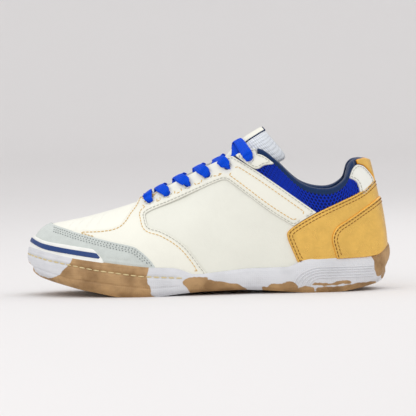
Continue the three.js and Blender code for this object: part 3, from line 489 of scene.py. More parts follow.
def patch(region, outer, sides=(LATERAL, MEDIAL), levels=()):
    """The part of the surface grid where region, a distance, is positive, with points along its levels."""
    parts, offset = [], 0
    for side in sides:
        data, triangles = GRIDS[side]
        points = patch_points(data, outer)
        inside = region(points, data)
        near = (inside[triangles] > -3).any(axis=1)
        data = data.copy()
        data[:, INSIDE] = inside
        data, triangles = tidy_patch(data, triangles[near])
        for level in (0, *levels):
            data, triangles = split_at(data, triangles, data[:, INSIDE], level)
        triangles = triangles[data[triangles, INSIDE].mean(axis=1) > 0]
        data, triangles = tidy_patch(data, triangles)
        parts.append((data, triangles + offset))
        offset += len(data)
    data, triangles = np.vstack([p[0] for p in parts]), np.vstack([p[1] for p in parts])
    if len(sides) == 2:
        data, triangles = weld(data, triangles)
    keep = (triangles != np.roll(triangles, 1, axis=1)).all(axis=1)
    return tidy_patch(data, triangles[keep])


def outer_edges(triangles):
    """Edges that belong to one triangle only, in that triangle's direction."""
    edges = np.vstack([triangles[:, [0, 1]], triangles[:, [1, 2]], triangles[:, [2, 0]]])
    ordered = np.sort(edges, axis=1)
    _, index, count = np.unique(ordered, axis=0, return_index=True, return_counts=True)
    return edges[index[count == 1]]


# ---------------------------------------------------------------- meshes and pieces
def mesh_from(name, points, faces, smooth_angle=40.0):
    """A mesh of points already in metres, shaded smooth up to an angle."""
    mesh = bpy.data.meshes.new(name)
    mesh.from_pydata([tuple(p) for p in points], [], [tuple(int(i) for i in f) for f in faces])
    mesh.validate()
    mesh.shade_smooth()
    mesh.set_sharp_from_angle(angle=math.radians(smooth_angle))
    return mesh


def point_values(mesh, name, values):
    attribute = mesh.attributes.new(name, "FLOAT", "POINT")
    attribute.data.foreach_set("value", np.asarray(values, np.float32))


def surface_uv(mesh, uv):
    """Lays each point's own surface coordinates, in metres, down as a UV map."""
    layer = mesh.uv_layers.new(name="surface")
    corners = np.zeros(len(mesh.loops), int)
    mesh.loops.foreach_get("vertex_index", corners)
    layer.data.foreach_set("uv", np.asarray(uv, np.float32)[corners].ravel())


def add_piece(name, mesh, material, body="shoe", nodes=()):
    """Links a finished mesh as a piece that rides on a body and stands for its CAD nodes."""
    piece = bpy.data.objects.new(name, mesh)
    bpy.context.scene.collection.objects.link(piece)
    if material and not mesh.materials:
        mesh.materials.append(material)
    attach(piece, body)
    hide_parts(*nodes)
    return piece


def rolled_edge(inside, layer, radius=0.8, seams=(), dip=0.28):
    """Outer face of a layer: rounded down at its cut edge and drawn in along its seams."""
    t = np.clip(inside / radius, 0, 1)
    height = layer[0] + (layer[1] - layer[0]) * (0.3 + 0.7 * np.sqrt(1 - (1 - t) ** 2))
    for seam in seams:
        height = height - dip * np.exp(-(((inside - seam) / 0.8) ** 2))
    return height


def leather_panel(name, data, triangles, layer, seams=(), radius=0.8, relief=None):
    """Closed shell of a patch: the outer face with rolled edges, the inner face and the cut edge."""
    height = rolled_edge(data[:, INSIDE], layer, radius, seams)
    if relief is not None:
        height = height + relief(data)
    outer = placed(patch_points(data, height))
    inner = placed(patch_points(data, layer[0]))
    rim = outer_edges(triangles)
    count = len(data)
    walls = np.column_stack([rim[:, 1], rim[:, 0], rim[:, 0] + count, rim[:, 1] + count])
    faces = [*triangles.tolist(), *(triangles[:, ::-1] + count).tolist(), *walls.tolist()]
    mesh = mesh_from(name, np.vstack([outer, inner]), faces, 50)
    if len(mesh.vertices) == 2 * count:
        point_values(mesh, "edge", np.tile(np.clip(data[:, INSIDE], 0, 30), 2))
        surface_uv(mesh, np.tile(data[:, [RUN, DEPTH]] * MM, (2, 1)))
    return mesh


OFF_LEVEL = 0.011  # keeps a row just clear of the patch corners that lie on its level
STITCH_RISE = 0.12  # how far the thread's middle lies above the leather


def seam_path(data, triangles, level, height, keep=None):
    """Points and edges of a row of stitches that keeps a distance from the panel's edge."""
    value = data[:, INSIDE] - level - OFF_LEVEL
    above = value > 0
    crossed = triangles[above[triangles].sum(axis=1) % 3 != 0]
    high = above[crossed]
    lone = np.where(high.sum(axis=1) == 1, high.argmax(axis=1), (~high).argmax(axis=1))
    row = np.arange(len(crossed))
    corner = crossed[row, lone]
    ends = [np.sort(np.column_stack([corner, crossed[row, (lone + k) % 3]]), axis=1) for k in (1, 2)]
    sides, index = np.unique(np.vstack(ends), axis=0, return_inverse=True)
    edges = index.reshape(2, -1).T
    surface = patch_points(data, height)
    first, last = sides.T
    share = value[first] / (value[first] - value[last])
    points = surface[first] + (surface[last] - surface[first]) * share[:, None]
    if keep is not None:
        edges = edges[keep(points)[edges].all(axis=1)]
    used, inverse = np.unique(edges, return_inverse=True)
    return placed(points[used]), inverse.reshape(-1, 2)


SEAMS = {"tan": [], "grey": [], "brown": [], "needle": []}


def sew(colour, data, triangles, level, layer, keep=None, lift=0.0):
    points, edges = seam_path(data, triangles, level, rolled_edge(level, layer) + STITCH_RISE + lift, keep)
    if len(edges):
        SEAMS[colour].append((points, edges))


# ---------------------------------------------------------------- geometry node trees
def new_tree(name, inputs):
    """An empty geometry node tree with named inputs: name, socket type, default."""
    tree = bpy.data.node_groups.new(name, "GeometryNodeTree")
    tree.interface.new_socket("Geometry", in_out="INPUT", socket_type="NodeSocketGeometry")
    for label, kind, value in inputs:
        socket = tree.interface.new_socket(label, in_out="INPUT", socket_type=kind)
        if value is not None:
            socket.default_value = value
    tree.interface.new_socket("Geometry", in_out="OUTPUT", socket_type="NodeSocketGeometry")
    return tree, tree.nodes.new("NodeGroupInput"), tree.nodes.new("NodeGroupOutput")


def tree_node(tree, kind, links=(), **settings):
    node = tree.nodes.new(kind)
    for key, value in settings.items():
        setattr(node, key, value)
    for socket, source in dict(links).items():
        if isinstance(source, bpy.types.NodeSocket):
            tree.links.new(source, node.inputs[socket])
        else:
            node.inputs[socket].default_value = source
    return node


def stitch_tree():
    """Thread stitches, as sunken capsules, laid end to end along every edge path of the input."""
    tree, given, result = new_tree("stitch_rows", [
        ("Pitch", "NodeSocketFloat", 0.003), ("Stitch Length", "NodeSocketFloat", 0.0022),
        ("Thread Radius", "NodeSocketFloat", 0.0003), ("Thread", "NodeSocketMaterial", None),
    ])
    path = tree_node(tree, "GeometryNodeMeshToCurve", {"Mesh": given.outputs["Geometry"]})
    even = tree_node(tree, "GeometryNodeResampleCurve", {
        "Curve": path.outputs[0], "Length": 0.0015}, mode="LENGTH")
    points = tree_node(tree, "GeometryNodeCurveToPoints", {"Curve": even.outputs[0]}, mode="LENGTH")
    tree.links.new(given.outputs["Pitch"], points.inputs["Length"])
    capsule = tree_node(tree, "GeometryNodeMeshUVSphere", {"Segments": 6, "Rings": 5, "Radius": 1.0})
    half = tree_node(tree, "ShaderNodeMath", {
        0: given.outputs["Stitch Length"], 1: 0.5}, operation="MULTIPLY")
    size = tree_node(tree, "ShaderNodeCombineXYZ", {
        "X": given.outputs["Thread Radius"], "Y": given.outputs["Thread Radius"], "Z": half.outputs[0]})
    placed_on = tree_node(tree, "GeometryNodeInstanceOnPoints", {
        "Points": points.outputs["Points"], "Instance": capsule.outputs["Mesh"],
        "Rotation": points.outputs["Rotation"], "Scale": size.outputs[0]})
    real = tree_node(tree, "GeometryNodeRealizeInstances", {"Geometry": placed_on.outputs[0]})
    smooth = tree_node(tree, "GeometryNodeSetShadeSmooth", {"Geometry": real.outputs[0]})
    painted = tree_node(tree, "GeometryNodeSetMaterial", {
        "Geometry": smooth.outputs[0], "Material": given.outputs["Thread"]})
    tree.links.new(painted.outputs[0], result.inputs[0])
    return tree


def yarn_tree():
    """A round yarn or moulded bead swept along every edge path of the input."""
    tree, given, result = new_tree("swept_yarn", [
        ("Radius", "NodeSocketFloat", 0.0004), ("Sides", "NodeSocketInt", 5),
        ("Yarn", "NodeSocketMaterial", None),
    ])
    path = tree_node(tree, "GeometryNodeMeshToCurve", {"Mesh": given.outputs["Geometry"]})
    ring = tree_node(tree, "GeometryNodeCurvePrimitiveCircle", {
        "Resolution": given.outputs["Sides"], "Radius": given.outputs["Radius"]})
    swept = tree_node(tree, "GeometryNodeCurveToMesh", {
        "Curve": path.outputs[0], "Profile Curve": ring.outputs[0], "Fill Caps": True})
    real = tree_node(tree, "GeometryNodeRealizeInstances", {"Geometry": swept.outputs[0]})
    smooth = tree_node(tree, "GeometryNodeSetShadeSmooth", {"Geometry": real.outputs[0]})
    painted = tree_node(tree, "GeometryNodeSetMaterial", {
        "Geometry": smooth.outputs[0], "Material": given.outputs["Yarn"]})
    tree.links.new(painted.outputs[0], result.inputs[0])
    return tree


def lug_tree():
    """Six-sided tread lugs, one on each point of the input."""
    tree, given, result = new_tree("tread_lugs", [
        ("Lug Radius", "NodeSocketFloat", 0.0026), ("Lug Height", "NodeSocketFloat", 0.0018),
        ("Rubber", "NodeSocketMaterial", None),
    ])
    wide = tree_node(tree, "ShaderNodeMath", {
        0: given.outputs["Lug Radius"], 1: 1.12}, operation="MULTIPLY")
    lug = tree_node(tree, "GeometryNodeMeshCone", {
        "Vertices": 6, "Radius Top": wide.outputs[0], "Radius Bottom": given.outputs["Lug Radius"],
        "Depth": given.outputs["Lug Height"]})
    size = tree_node(tree, "GeometryNodeInputNamedAttribute", {"Name": "size"}, data_type="FLOAT")
    placed_on = tree_node(tree, "GeometryNodeInstanceOnPoints", {
        "Points": given.outputs["Geometry"], "Instance": lug.outputs["Mesh"], "Scale": size.outputs[0]})
    real = tree_node(tree, "GeometryNodeRealizeInstances", {"Geometry": placed_on.outputs[0]})
    painted = tree_node(tree, "GeometryNodeSetMaterial", {
        "Geometry": real.outputs[0], "Material": given.outputs["Rubber"]})
    tree.links.new(painted.outputs[0], result.inputs[0])
    return tree


def grown_mesh(name, source, tree, values):
    """Runs a node tree over a source mesh and returns the plain mesh that it makes."""
    holder = bpy.data.objects.new(name, source)
    bpy.context.scene.collection.objects.link(holder)
    modifier = holder.modifiers.new("nodes", "NODES")
    modifier.node_group = tree
    for socket in tree.interface.items_tree:
        if socket.in_out == "INPUT" and socket.name in values:
            modifier[socket.identifier] = values[socket.name]
    evaluated = holder.evaluated_get(bpy.context.evaluated_depsgraph_get())
    mesh = bpy.data.meshes.new_from_object(evaluated)
    mesh.name = name
    bpy.data.objects.remove(holder)
    if not len(mesh.vertices):
        raise RuntimeError(f"{name} came out empty")
    return mesh


def path_mesh(name, runs):
    """One mesh of edge paths from several runs of points and edges."""
    points, edges, start = [], [], 0
    for run_points, run_edges in runs:
        points.append(run_points)
        edges.append(np.asarray(run_edges) + start)
        start += len(run_points)
    mesh = bpy.data.meshes.new(name)
    mesh.from_pydata(np.vstack(points).tolist(), np.vstack(edges).tolist(), [])
    return mesh


def chain(points):
    return placed(points), np.column_stack([np.arange(len(points) - 1), np.arange(1, len(points))])


# ---------------------------------------------------------------- finishes
def srgb(red, green, blue):
    """Screen colour, 0 to 255 each, as a linear colour."""
    channels = [c / 255 for c in (red, green, blue)]
    return tuple(c / 12.92 if c <= 0.04045 else ((c + 0.055) / 1.055) ** 2.4 for c in channels)


SHADER_LABELS = {
    "sheen_weight": "Sheen Weight", "sheen_roughness": "Sheen Roughness",
    "specular_ior_level": "Specular IOR Level",
}


class Finish:
    """One procedural material: a principled shader with colour and bump built up by layers."""

    def __init__(self, name, colour, roughness, metallic=0.0, **fixed):
        self.material = bpy.data.materials.new(name)
        self.material.use_nodes = True
        self.tree = self.material.node_tree
        self.shader = next(n for n in self.tree.nodes if n.type == "BSDF_PRINCIPLED")
        self.shader.inputs["Roughness"].default_value = roughness
        self.shader.inputs["Metallic"].default_value = metallic
        for label, value in fixed.items():
            self.shader.inputs[SHADER_LABELS[label]].default_value = value
        self.place = self.node("ShaderNodeTexCoord").outputs
        self.colour = self.node("ShaderNodeRGB").outputs[0]
        self.colour.default_value = (*colour, 1)
        self.normal = None

    def node(self, kind, links=(), **settings):
        return tree_node(self.tree, kind, links, **settings)

    def noise(self, size, detail=3.0, source=None):
        """Smooth noise with features of about the given size in metres."""
        return self.node("ShaderNodeTexNoise", {
            "Vector": source or self.place["Object"], "Scale": 1 / size, "Detail": detail}).outputs[0]

    def cells(self, size, source=None, randomness=1.0, feature="F1"):
        return self.node("ShaderNodeTexVoronoi", {
            "Vector": source or self.place["Object"], "Scale": 1 / size, "Randomness": randomness},
            feature=feature).outputs["Distance"]

    def edge(self, name="edge"):
        return self.node("ShaderNodeAttribute", attribute_name=name).outputs["Fac"]

    def span(self, value, low, high, to_low=0.0, to_high=1.0):
        return self.node("ShaderNodeMapRange", {
            "Value": value, "From Min": low, "From Max": high, "To Min": to_low, "To Max": to_high,
        }).outputs[0]

    def maths(self, operation, a, b):
        return self.node("ShaderNodeMath", {0: a, 1: b}, operation=operation).outputs[0]

    def tint(self, factor, colour):
        """Mixes another colour over what is there."""
        mix = self.node("ShaderNodeMix", data_type="RGBA")
        self.tree.links.new(factor, mix.inputs["Factor"])
        sockets = [s for s in mix.inputs if s.type == "RGBA"]
        self.tree.links.new(self.colour, sockets[0])
        sockets[1].default_value = (*colour, 1)
        self.colour = next(s for s in mix.outputs if s.type == "RGBA")

    def bump(self, height, depth, strength=1.0):
        links = {"Height": height, "Distance": depth, "Strength": strength}
        if self.normal is not None:
            links["Normal"] = self.normal
        self.normal = self.node("ShaderNodeBump", links).outputs[0]

    def done(self, roughness=None):
        self.tree.links.new(self.colour, self.shader.inputs["Base Color"])
        if self.normal is not None:
            self.tree.links.new(self.normal, self.shader.inputs["Normal"])
        if roughness is not None:
            self.tree.links.new(roughness, self.shader.inputs["Roughness"])
        return self.material


def scaled_colour(colour, factor):
    return tuple(min(1.0, c * factor) for c in colour)


def leather(name, colour, grain=0.0009, roughness=0.42, edge_colour=None):
    """Smooth coated leather: fine pebbled grain, faint creases, and a paler or darker cut edge."""
    finish = Finish(name, colour, roughness)
    finish.tint(finish.span(finish.noise(0.05, 4), 0.35, 0.75, 0, 0.5), scaled_colour(colour, 0.93))
    finish.tint(finish.span(finish.noise(0.008, 5), 0.45, 0.75, 0, 0.3), scaled_colour(colour, 1.05))
    cut = finish.span(finish.edge(), 0.05, 0.55, 1, 0)
    finish.tint(cut, edge_colour or scaled_colour(colour, 0.62))
    finish.bump(finish.cells(grain), 0.00009, 0.5)
    finish.bump(finish.noise(0.004, 5), 0.0004, 0.25)
    return finish.done(finish.span(finish.noise(0.01, 4), 0.3, 0.7, roughness - 0.06, roughness + 0.1))


def gold_leather(colour, edge_colour):
    """Metallic coated leather with a hammered crease grain, broad darker clouds that are painted shade of its
    reflection, and a bright cut edge.
    """
    finish = Finish("gold_leather", colour, 0.36, 0.78)
    # Broad darker clouds: painted shade standing in for the changing reflection over the curved gold.
    finish.tint(finish.span(finish.noise(0.035, 3), 0.42, 0.68, 0, 0.7), scaled_colour(colour, 0.74))
    finish.tint(finish.span(finish.noise(0.009, 6), 0.35, 0.7, 0, 0.55), scaled_colour(colour, 0.8))
    finish.tint(finish.span(finish.noise(0.0025, 4), 0.5, 0.8, 0, 0.5), scaled_colour(colour, 1.12))
    finish.tint(finish.span(finish.edge(), 0.1, 0.6, 1, 0), edge_colour)
    finish.bump(finish.noise(0.0022, 6), 0.0003, 0.6)
    finish.bump(finish.cells(0.0011), 0.00008, 0.5)
    return finish.done(finish.span(finish.noise(0.006, 5), 0.3, 0.7, 0.24, 0.42))


def suede(colour):
    """Brushed suede: mottled nap with short fibres and a soft sheen."""
    finish = Finish("pale_suede", colour, 0.95, sheen_weight=0.35, sheen_roughness=0.6,
                    specular_ior_level=0.15)
    finish.tint(finish.span(finish.noise(0.006, 6), 0.35, 0.7, 0, 0.6), scaled_colour(colour, 0.84))
    finish.tint(finish.span(finish.noise(0.0007, 3), 0.45, 0.75, 0, 0.5), scaled_colour(colour, 1.12))
    finish.tint(finish.span(finish.edge(), 0.05, 0.8, 1, 0), scaled_colour(colour, 0.7))
    finish.bump(finish.noise(0.0006, 4), 0.00035, 0.8)
    finish.bump(finish.noise(0.003, 5), 0.0005, 0.5)
    return finish.done()


def knit(name, colour, pitch, shade=0.45, roughness=0.85):
    """Fine knitted textile: rows of small loops that follow the surface, with painted shade in the low gaps
    between them.
    """
    finish = Finish(name, colour, roughness, sheen_weight=0.3, sheen_roughness=0.5, specular_ior_level=0.2)
    loops = finish.cells(pitch, finish.place["UV"], 0.12)
    # The gaps between the loops, low in the bump, are darkened by the shade factor: painted shade.
    finish.tint(finish.span(loops, 0.25, 0.62), scaled_colour(colour, shade))
    finish.tint(finish.span(finish.noise(0.004, 4), 0.4, 0.8, 0, 0.35), scaled_colour(colour, 1.25))
    finish.bump(finish.span(loops, 0, 0.6, 1, 0), pitch * 0.22, 0.8)
    finish.bump(finish.noise(0.0004, 3), 0.0001, 0.5)
    return finish.done()


def yarn(name, colour, roughness=0.7):
    """Twisted thread or yarn."""
    finish = Finish(name, colour, roughness, sheen_weight=0.04, specular_ior_level=0.2)
    finish.tint(finish.span(finish.noise(0.0016, 3), 0.4, 0.7, 0, 0.6), scaled_colour(colour, 0.72))
    finish.bump(finish.noise(0.00035, 2), 0.00008, 0.6)
    return finish.done()


def woven_lace(colour):
    """Flat braid: a chevron weave from the middle out, with painted shade in the grooves between its strands.
    """
    finish = Finish("blue_lace", colour, 0.7, specular_ior_level=0.12)
    parts = finish.node("ShaderNodeSeparateXYZ", {0: finish.place["UV"]}).outputs
    across = finish.maths("ABSOLUTE", parts["X"], 0)
    slant = finish.maths("ADD", across, parts["Y"])
    strand = finish.maths("SINE", finish.maths("MULTIPLY", slant, 5200.0), 0)
    rib = finish.maths("SINE", finish.maths("MULTIPLY", parts["X"], 4200.0), 0)
    weave = finish.maths("ADD", finish.maths("MULTIPLY", strand, 0.6), finish.maths("MULTIPLY", rib, 0.4))
    # The low grooves of the weave, between the strands, are painted darker: painted shade.
    finish.tint(finish.span(weave, 0.3, -0.9, 0, 0.75), scaled_colour(colour, 0.6))
    finish.tint(finish.span(finish.noise(0.004, 3), 0.5, 0.8, 0, 0.35), scaled_colour(colour, 1.25))
    finish.bump(weave, 0.00022, 0.8)
    return finish.done()


def marbled_rubber(gum, gum_dark, white):
    """Gum and white rubber run into each other along smeared borders, with a fine moulded stipple and paler
    gum clouds that are painted highlights.
    """
    finish = Finish("marbled_rubber", gum, 0.5)
    finish.tint(finish.span(finish.noise(0.013, 4), 0.38, 0.66, 0, 0.85), gum_dark)
    # Paler gum clouds: painted highlights.
    finish.tint(finish.span(finish.noise(0.02, 3), 0.5, 0.75, 0, 0.5), scaled_colour(gum, 1.25))
    smear = finish.span(finish.noise(0.007, 3), 0.3, 0.7, -0.7, 0.7)
    border = finish.maths("ADD", finish.edge("gum"), smear)
    pale = finish.span(border, 0.25, -0.25)
    finish.tint(pale, white)
    grime = finish.maths("MULTIPLY", pale, finish.span(finish.noise(0.016, 6), 0.42, 0.75, 0, 0.55))
    finish.tint(grime, scaled_colour(white, 0.8))
    finish.bump(finish.cells(0.0016, randomness=0.2), 0.0003, 0.8)
    finish.bump(finish.noise(0.004, 4), 0.0003, 0.3)
    finish.bump(pale, 0.00025, 0.5)
    return finish.done(finish.span(finish.noise(0.008, 4), 0.3, 0.7, 0.42, 0.6))


def moulded(name, colour, roughness, metallic=0.0, grain=0.0006, depth=0.00005):
    """Plain moulded, pressed or foamed stuff with a fine grain."""
    finish = Finish(name, colour, roughness, metallic)
    finish.tint(finish.span(finish.noise(0.01, 5), 0.4, 0.75, 0, 0.6), scaled_colour(colour, 0.85))
    finish.bump(finish.cells(grain), depth, 0.6)
    return finish.done(finish.span(finish.noise(0.006, 3), 0.3, 0.7, roughness - 0.08, roughness + 0.08))


def studio_paper(colour):
    finish = Finish("studio_paper", colour, 0.95, specular_ior_level=0.1)
    finish.tint(finish.span(finish.noise(1.5, 1), 0.3, 0.7, 0, 0.3), scaled_colour(colour, 0.97))
    return finish.done()


MATERIALS = {}


def make_finishes():
    c = bpy.context.scene.court_shoe_colours
    MATERIALS.update({
        "vamp": leather("vamp_leather", c.vamp, 0.0008, 0.4),
        "overlay": leather("overlay_leather", c.overlay, 0.0009, 0.42),
        "panel": leather("side_leather", c.panel, 0.0008, 0.38),
        "white": leather("white_leather", c.heel_tab, 0.0008, 0.4),
        "gold": gold_leather(c.gold, c.gold_edge),
        "suede": suede(c.suede),
        "foxing": moulded("foxing_rubber", c.foxing, 0.5, grain=0.001),
        "stripe": moulded("navy_stripe", c.stripe, 0.42, grain=0.001),
        "mesh": yarn("blue_knit_yarn", c.knit, 0.75),
        "mesh_base": knit("blue_knit_base", scaled_colour(c.knit, 0.35), 0.0016),
        "navy": knit("navy_textile", c.navy, 0.0011, 0.55),
        "pale": knit("pale_textile", c.tongue, 0.0019, 0.62),
        "lace": woven_lace(c.lace),
        "rubber": marbled_rubber(c.gum, c.gum_dark, c.white_rubber),
        "tan_thread": yarn("tan_thread", c.tan_thread),
        "grey_thread": yarn("grey_thread", c.grey_thread),
        "brown_thread": yarn("brown_thread", c.brown_thread),
        "needle": yarn("needle_marks", c.needle, 0.9),
        # Darkened navy yarn of the tongue cord, a painted shadow line under the cover's edge.
        "shadow_line_yarn": yarn("shadow_line_yarn", scaled_colour(c.navy, 0.7)),
        "cream_thread": yarn("cream_thread", c.cream_thread),
        "foam": moulded("open_foam", srgb(232, 231, 226), 0.85, grain=0.0012, depth=0.0003),
        "steel": moulded("pressed_steel", srgb(160, 162, 168), 0.35, 0.9, depth=0.00002),
        "fibre": moulded("fibre_board", srgb(181, 154, 114), 0.85, grain=0.002, depth=0.0002),
        "film": moulded("lace_tip_film", srgb(25, 60, 150), 0.25),
    })


# ---------------------------------------------------------------- regions of the panels
def in_area(area):
    return lambda p, data: inside_distance(area, p[:, 0], p[:, 2])


def both(*regions):
    return lambda p, data: np.minimum.reduce([r(p, data) for r in regions])


def without(region, *cuts):
    return lambda p, data: np.minimum.reduce([region(p, data), *[-c(p, data) for c in cuts]])


def at_depth(depth):
    """Below a depth down from the open top edge; the closed ridge ahead of the throat has no edge."""
    def region(p, data):
        return np.where(data[:, U] > THROAT + 0.02, data[:, DEPTH] - depth, 50 + data[:, DEPTH])
    return region


def ahead_of(x):
    return lambda p, data: x - p[:, 0]


def behind(x):
    return lambda p, data: p[:, 0] - x


def above_sole(margin):
    """Above the lip of the cupsole."""
    return lambda p, data: p[:, 2] - smooth_profile(SOLE_TOP, p[:, 0]) + margin


def depth_in(area, p):
    """Distance of points into an outline."""
    return inside_distance(area, p[:, 0], p[:, 2])


def clear_of_sole(p, margin=0.5):
    return p[:, 2] > smooth_profile(SOLE_TOP, p[:, 0]) + margin


def eyelet_place(side, n):
    low, high = THROAT - 0.5, float(COLLAR)
    for _ in range(24):
        u = (low + high) / 2
        v = v_at_depth(side, u, EYELET_DEPTH)
        ahead = last_point(side, np.array([u]), np.array([v]))[0, 0] < EYELET_X[n]
        low, high = (u, high) if ahead else (low, u)
    return low, v_at_depth(side, low, EYELET_DEPTH)


EYELET_PLACES = {(side, n): eyelet_place(side, n) for side in (LATERAL, MEDIAL) for n in range(EYELETS)}


def eyelet_holes(p, data):
    """Distance into the nearest lace hole; negative outside the holes."""
    best = np.full(len(p), -99.0)
    for (side, _), (u, v) in EYELET_PLACES.items():
        centre = last_offset(side, u, v, 3)[0]
        best = np.maximum(best, EYELET_RADIUS - np.linalg.norm(p - centre, axis=1))
    return best


def below_binding(p, data):
    """Clear of the topline binding, which starts at the collar."""
    return np.where(data[:, U] > COLLAR - 0.15, data[:, DEPTH] - BINDING_HEIGHT, 99.0)


ANYWHERE = at_depth(0)


# ---------------------------------------------------------------- upper
def build_vamp():
    levels = (0.3, 0.8)
    region = both(ahead_of(-50), ANYWHERE)
    data, triangles = patch(region, 1.7, levels=levels)

    def creases(data):
        points = patch_points(data, 1.7)
        x, y = points[:, 0], points[:, 1]
        height = np.zeros(len(data))
        for vent_x, lean in ((-110, 0.5), (-102, 0.5), (-93.5, 0.45), (-85, 0.4)):
            line = x - vent_x + lean * (np.abs(y) - 8)
            reach = np.clip((26 - np.abs(y)) / 4, 0, 1) * np.clip((np.abs(y) - 3) / 3, 0, 1)
            height -= 0.5 * np.exp(-((line / 0.9) ** 2)) * reach
            height += 0.22 * np.exp(-(((line - 1.9) / 1.2) ** 2)) * reach
        return height
    mesh = leather_panel("vamp_leather", data, triangles, BASE_LAYER, relief=creases)
    add_piece("vamp_leather", mesh, MATERIALS["vamp"], nodes=["vamp"])


def build_side_panels():
    for side in (LATERAL, MEDIAL):
        name = SIDE_NAMES[side]
        region = both(behind(-52), ANYWHERE, without(in_area(np.array(UNDER_STRAP_EDGE)), eyelet_holes))
        data, triangles = patch(region, 1.7, (side,), (0.3, 0.8))

        def give(data):
            x, _, z = patch_points(data, 1.7).T
            return 0.35 * np.sin(x * 0.11 + z * 0.05) * np.sin(z * 0.13 - x * 0.03)
        mesh = leather_panel(f"side_panel_leather_{name}", data, triangles, BASE_LAYER, relief=give)
        add_piece(f"side_panel_leather_{name}", mesh, MATERIALS["panel"],
                  nodes=[f"side_panel_{name}"])


def build_overlays():
    """Eyestay, forefoot side and strap in one piece on each side, sewn along its window, strap, vamp and
    throat edges.
    """
    for side in (LATERAL, MEDIAL):
        name = SIDE_NAMES[side]
        region = both(
            without(in_area(OVERLAY_AREA), in_area(WINDOW_AREA), in_area(COUNTER_AREA), eyelet_holes),
            without(ANYWHERE, lambda p, d: depth_in(TOE_AREA, p) - 2.0),
            above_sole(1.5), below_binding)
        levels = (0.3, 0.8, 1.5, 2.0, 3.0, 4.4, 5.4)
        data, triangles = patch(region, 3.4, (side,), levels)
        mesh = leather_panel(f"overlay_leather_{name}", data, triangles, OVERLAY_LAYER, (1.5,), 1.0)
        add_piece(f"overlay_leather_{name}", mesh, MATERIALS["overlay"],
                  nodes=[f"quarter_overlay_{name}"])
        sew_overlay(data, triangles)


VAMP_SIDE = np.array(VAMP_SEAM + [(-54, 100), (-300, 100), (-300, 50)])
STRAP_SIDE = np.vstack([eased(STRAP_EDGE[1:]), (92, 300), (400, 300)])


def sew_overlay(data, triangles):
    """Grey row along the raised edges, and tan rows round the window, the strap, the vamp and the throat."""
    def near(area, reach):
        return lambda p: np.abs(depth_in(area, p)) < reach

    def throat(p):
        return (p[:, 2] > 0.62 * (p[:, 0] + 54) + 74) & (p[:, 0] < 16)

    def row(colour, level, keep):
        sew(colour, data, triangles, level, OVERLAY_LAYER, keep)
    window, front, strap = near(WINDOW_AREA, 6), near(VAMP_SIDE, 4), near(STRAP_SIDE, 6.5)
    row("grey", 1.5, lambda p: clear_of_sole(p) & (window(p) | strap(p)))
    row("tan", 4.4, lambda p: clear_of_sole(p) & window(p))
    row("tan", 5.4, lambda p: strap(p) & ~window(p) & (p[:, 0] > 19))
    row("tan", 2.0, lambda p: (front(p) | throat(p)) & ~window(p) & (p[:, 1] != 0))
    row("tan", 3.0, lambda p: throat(p) & ~window(p) & (p[:, 0] > -44))


def build_top_tabs():
    for side in (LATERAL, MEDIAL):
        name = SIDE_NAMES[side]
        region = both(without(in_area(TOP_TAB_AREA), eyelet_holes), ANYWHERE, below_binding)
        data, triangles = patch(region, 5.0, (side,), (0.3, 0.8, 1.6))
        mesh = leather_panel(f"eyelet_tab_leather_{name}", data, triangles, TOP_LAYER, (1.6,), 1.0)
        add_piece(f"eyelet_tab_leather_{name}", mesh, MATERIALS["overlay"],
                  nodes=[f"eyelet_tab_{name}"])
        sew("grey", data, triangles, 1.6, TOP_LAYER)
        region = both(in_area(HEEL_TAB_AREA), ANYWHERE, below_binding)
        data, triangles = patch(region, 3.4, (side,), (0.3, 0.8, 1.6))
        mesh = leather_panel(f"heel_tab_leather_{name}", data, triangles, HEEL_TAB_LAYER, (1.6,), 0.9)
        add_piece(f"heel_tab_leather_{name}", mesh, MATERIALS["white"],
                  nodes=[f"heel_tab_{name}"])
        sew("grey", data, triangles, 1.6, HEEL_TAB_LAYER)


def build_gold():
    """Counter straps, the cover over them at the back, and the tab over the top of the heel."""
    region = both(in_area(COUNTER_AREA), above_sole(1.5), ANYWHERE)
    data, triangles = patch(region, 3.4, levels=(0.3, 0.9, 2.0, 4.4))
    mesh = leather_panel("gold_counter_strap", data, triangles, STRAP_LAYER, (2.0,), 0.9)
    add_piece("gold_counter_strap", mesh, MATERIALS["gold"],
              nodes=["gold_strap_lateral", "gold_strap_medial"])

    def strap_row(p):
        return clear_of_sole(p) & (depth_in(COVER_AREA, p) < -0.5) & (depth_in(COUNTER_AREA, p) < 4.9)
    for level in (2.0, 4.4):
        sew("brown", data, triangles, level, STRAP_LAYER, strap_row)

    region = both(in_area(COVER_AREA), above_sole(1.5))
    data, triangles = patch(region, 5.0, levels=(0.3, 0.9, 1.9, 4.2))
    mesh = leather_panel("gold_counter_cover", data, triangles, COVER_LAYER, (1.9,), 0.9)
    add_piece("gold_counter_cover", mesh, MATERIALS["gold"], nodes=["counter_cover"])

    def cover_row(p):
        low_back = (p[:, 0] >= 135) & (p[:, 2] <= 55)
        return clear_of_sole(p) & (depth_in(COVER_AREA, p) < 4.6) & ~low_back
    for level in (1.9, 4.2):
        sew("brown", data, triangles, level, COVER_LAYER, cover_row)

    region = both(in_area(HEEL_TOP_AREA), at_depth(0.4))
    data, triangles = patch(region, 3.4, levels=(0.3, 0.9))
    mesh = leather_panel("gold_heel_top", data, triangles, HEEL_TAB_LAYER, (), 0.9)
    add_piece("gold_heel_top", mesh, MATERIALS["gold"], nodes=["heel_top_tab"])


NEEDLE_ROWS = (2.3, 3.9, 5.5)


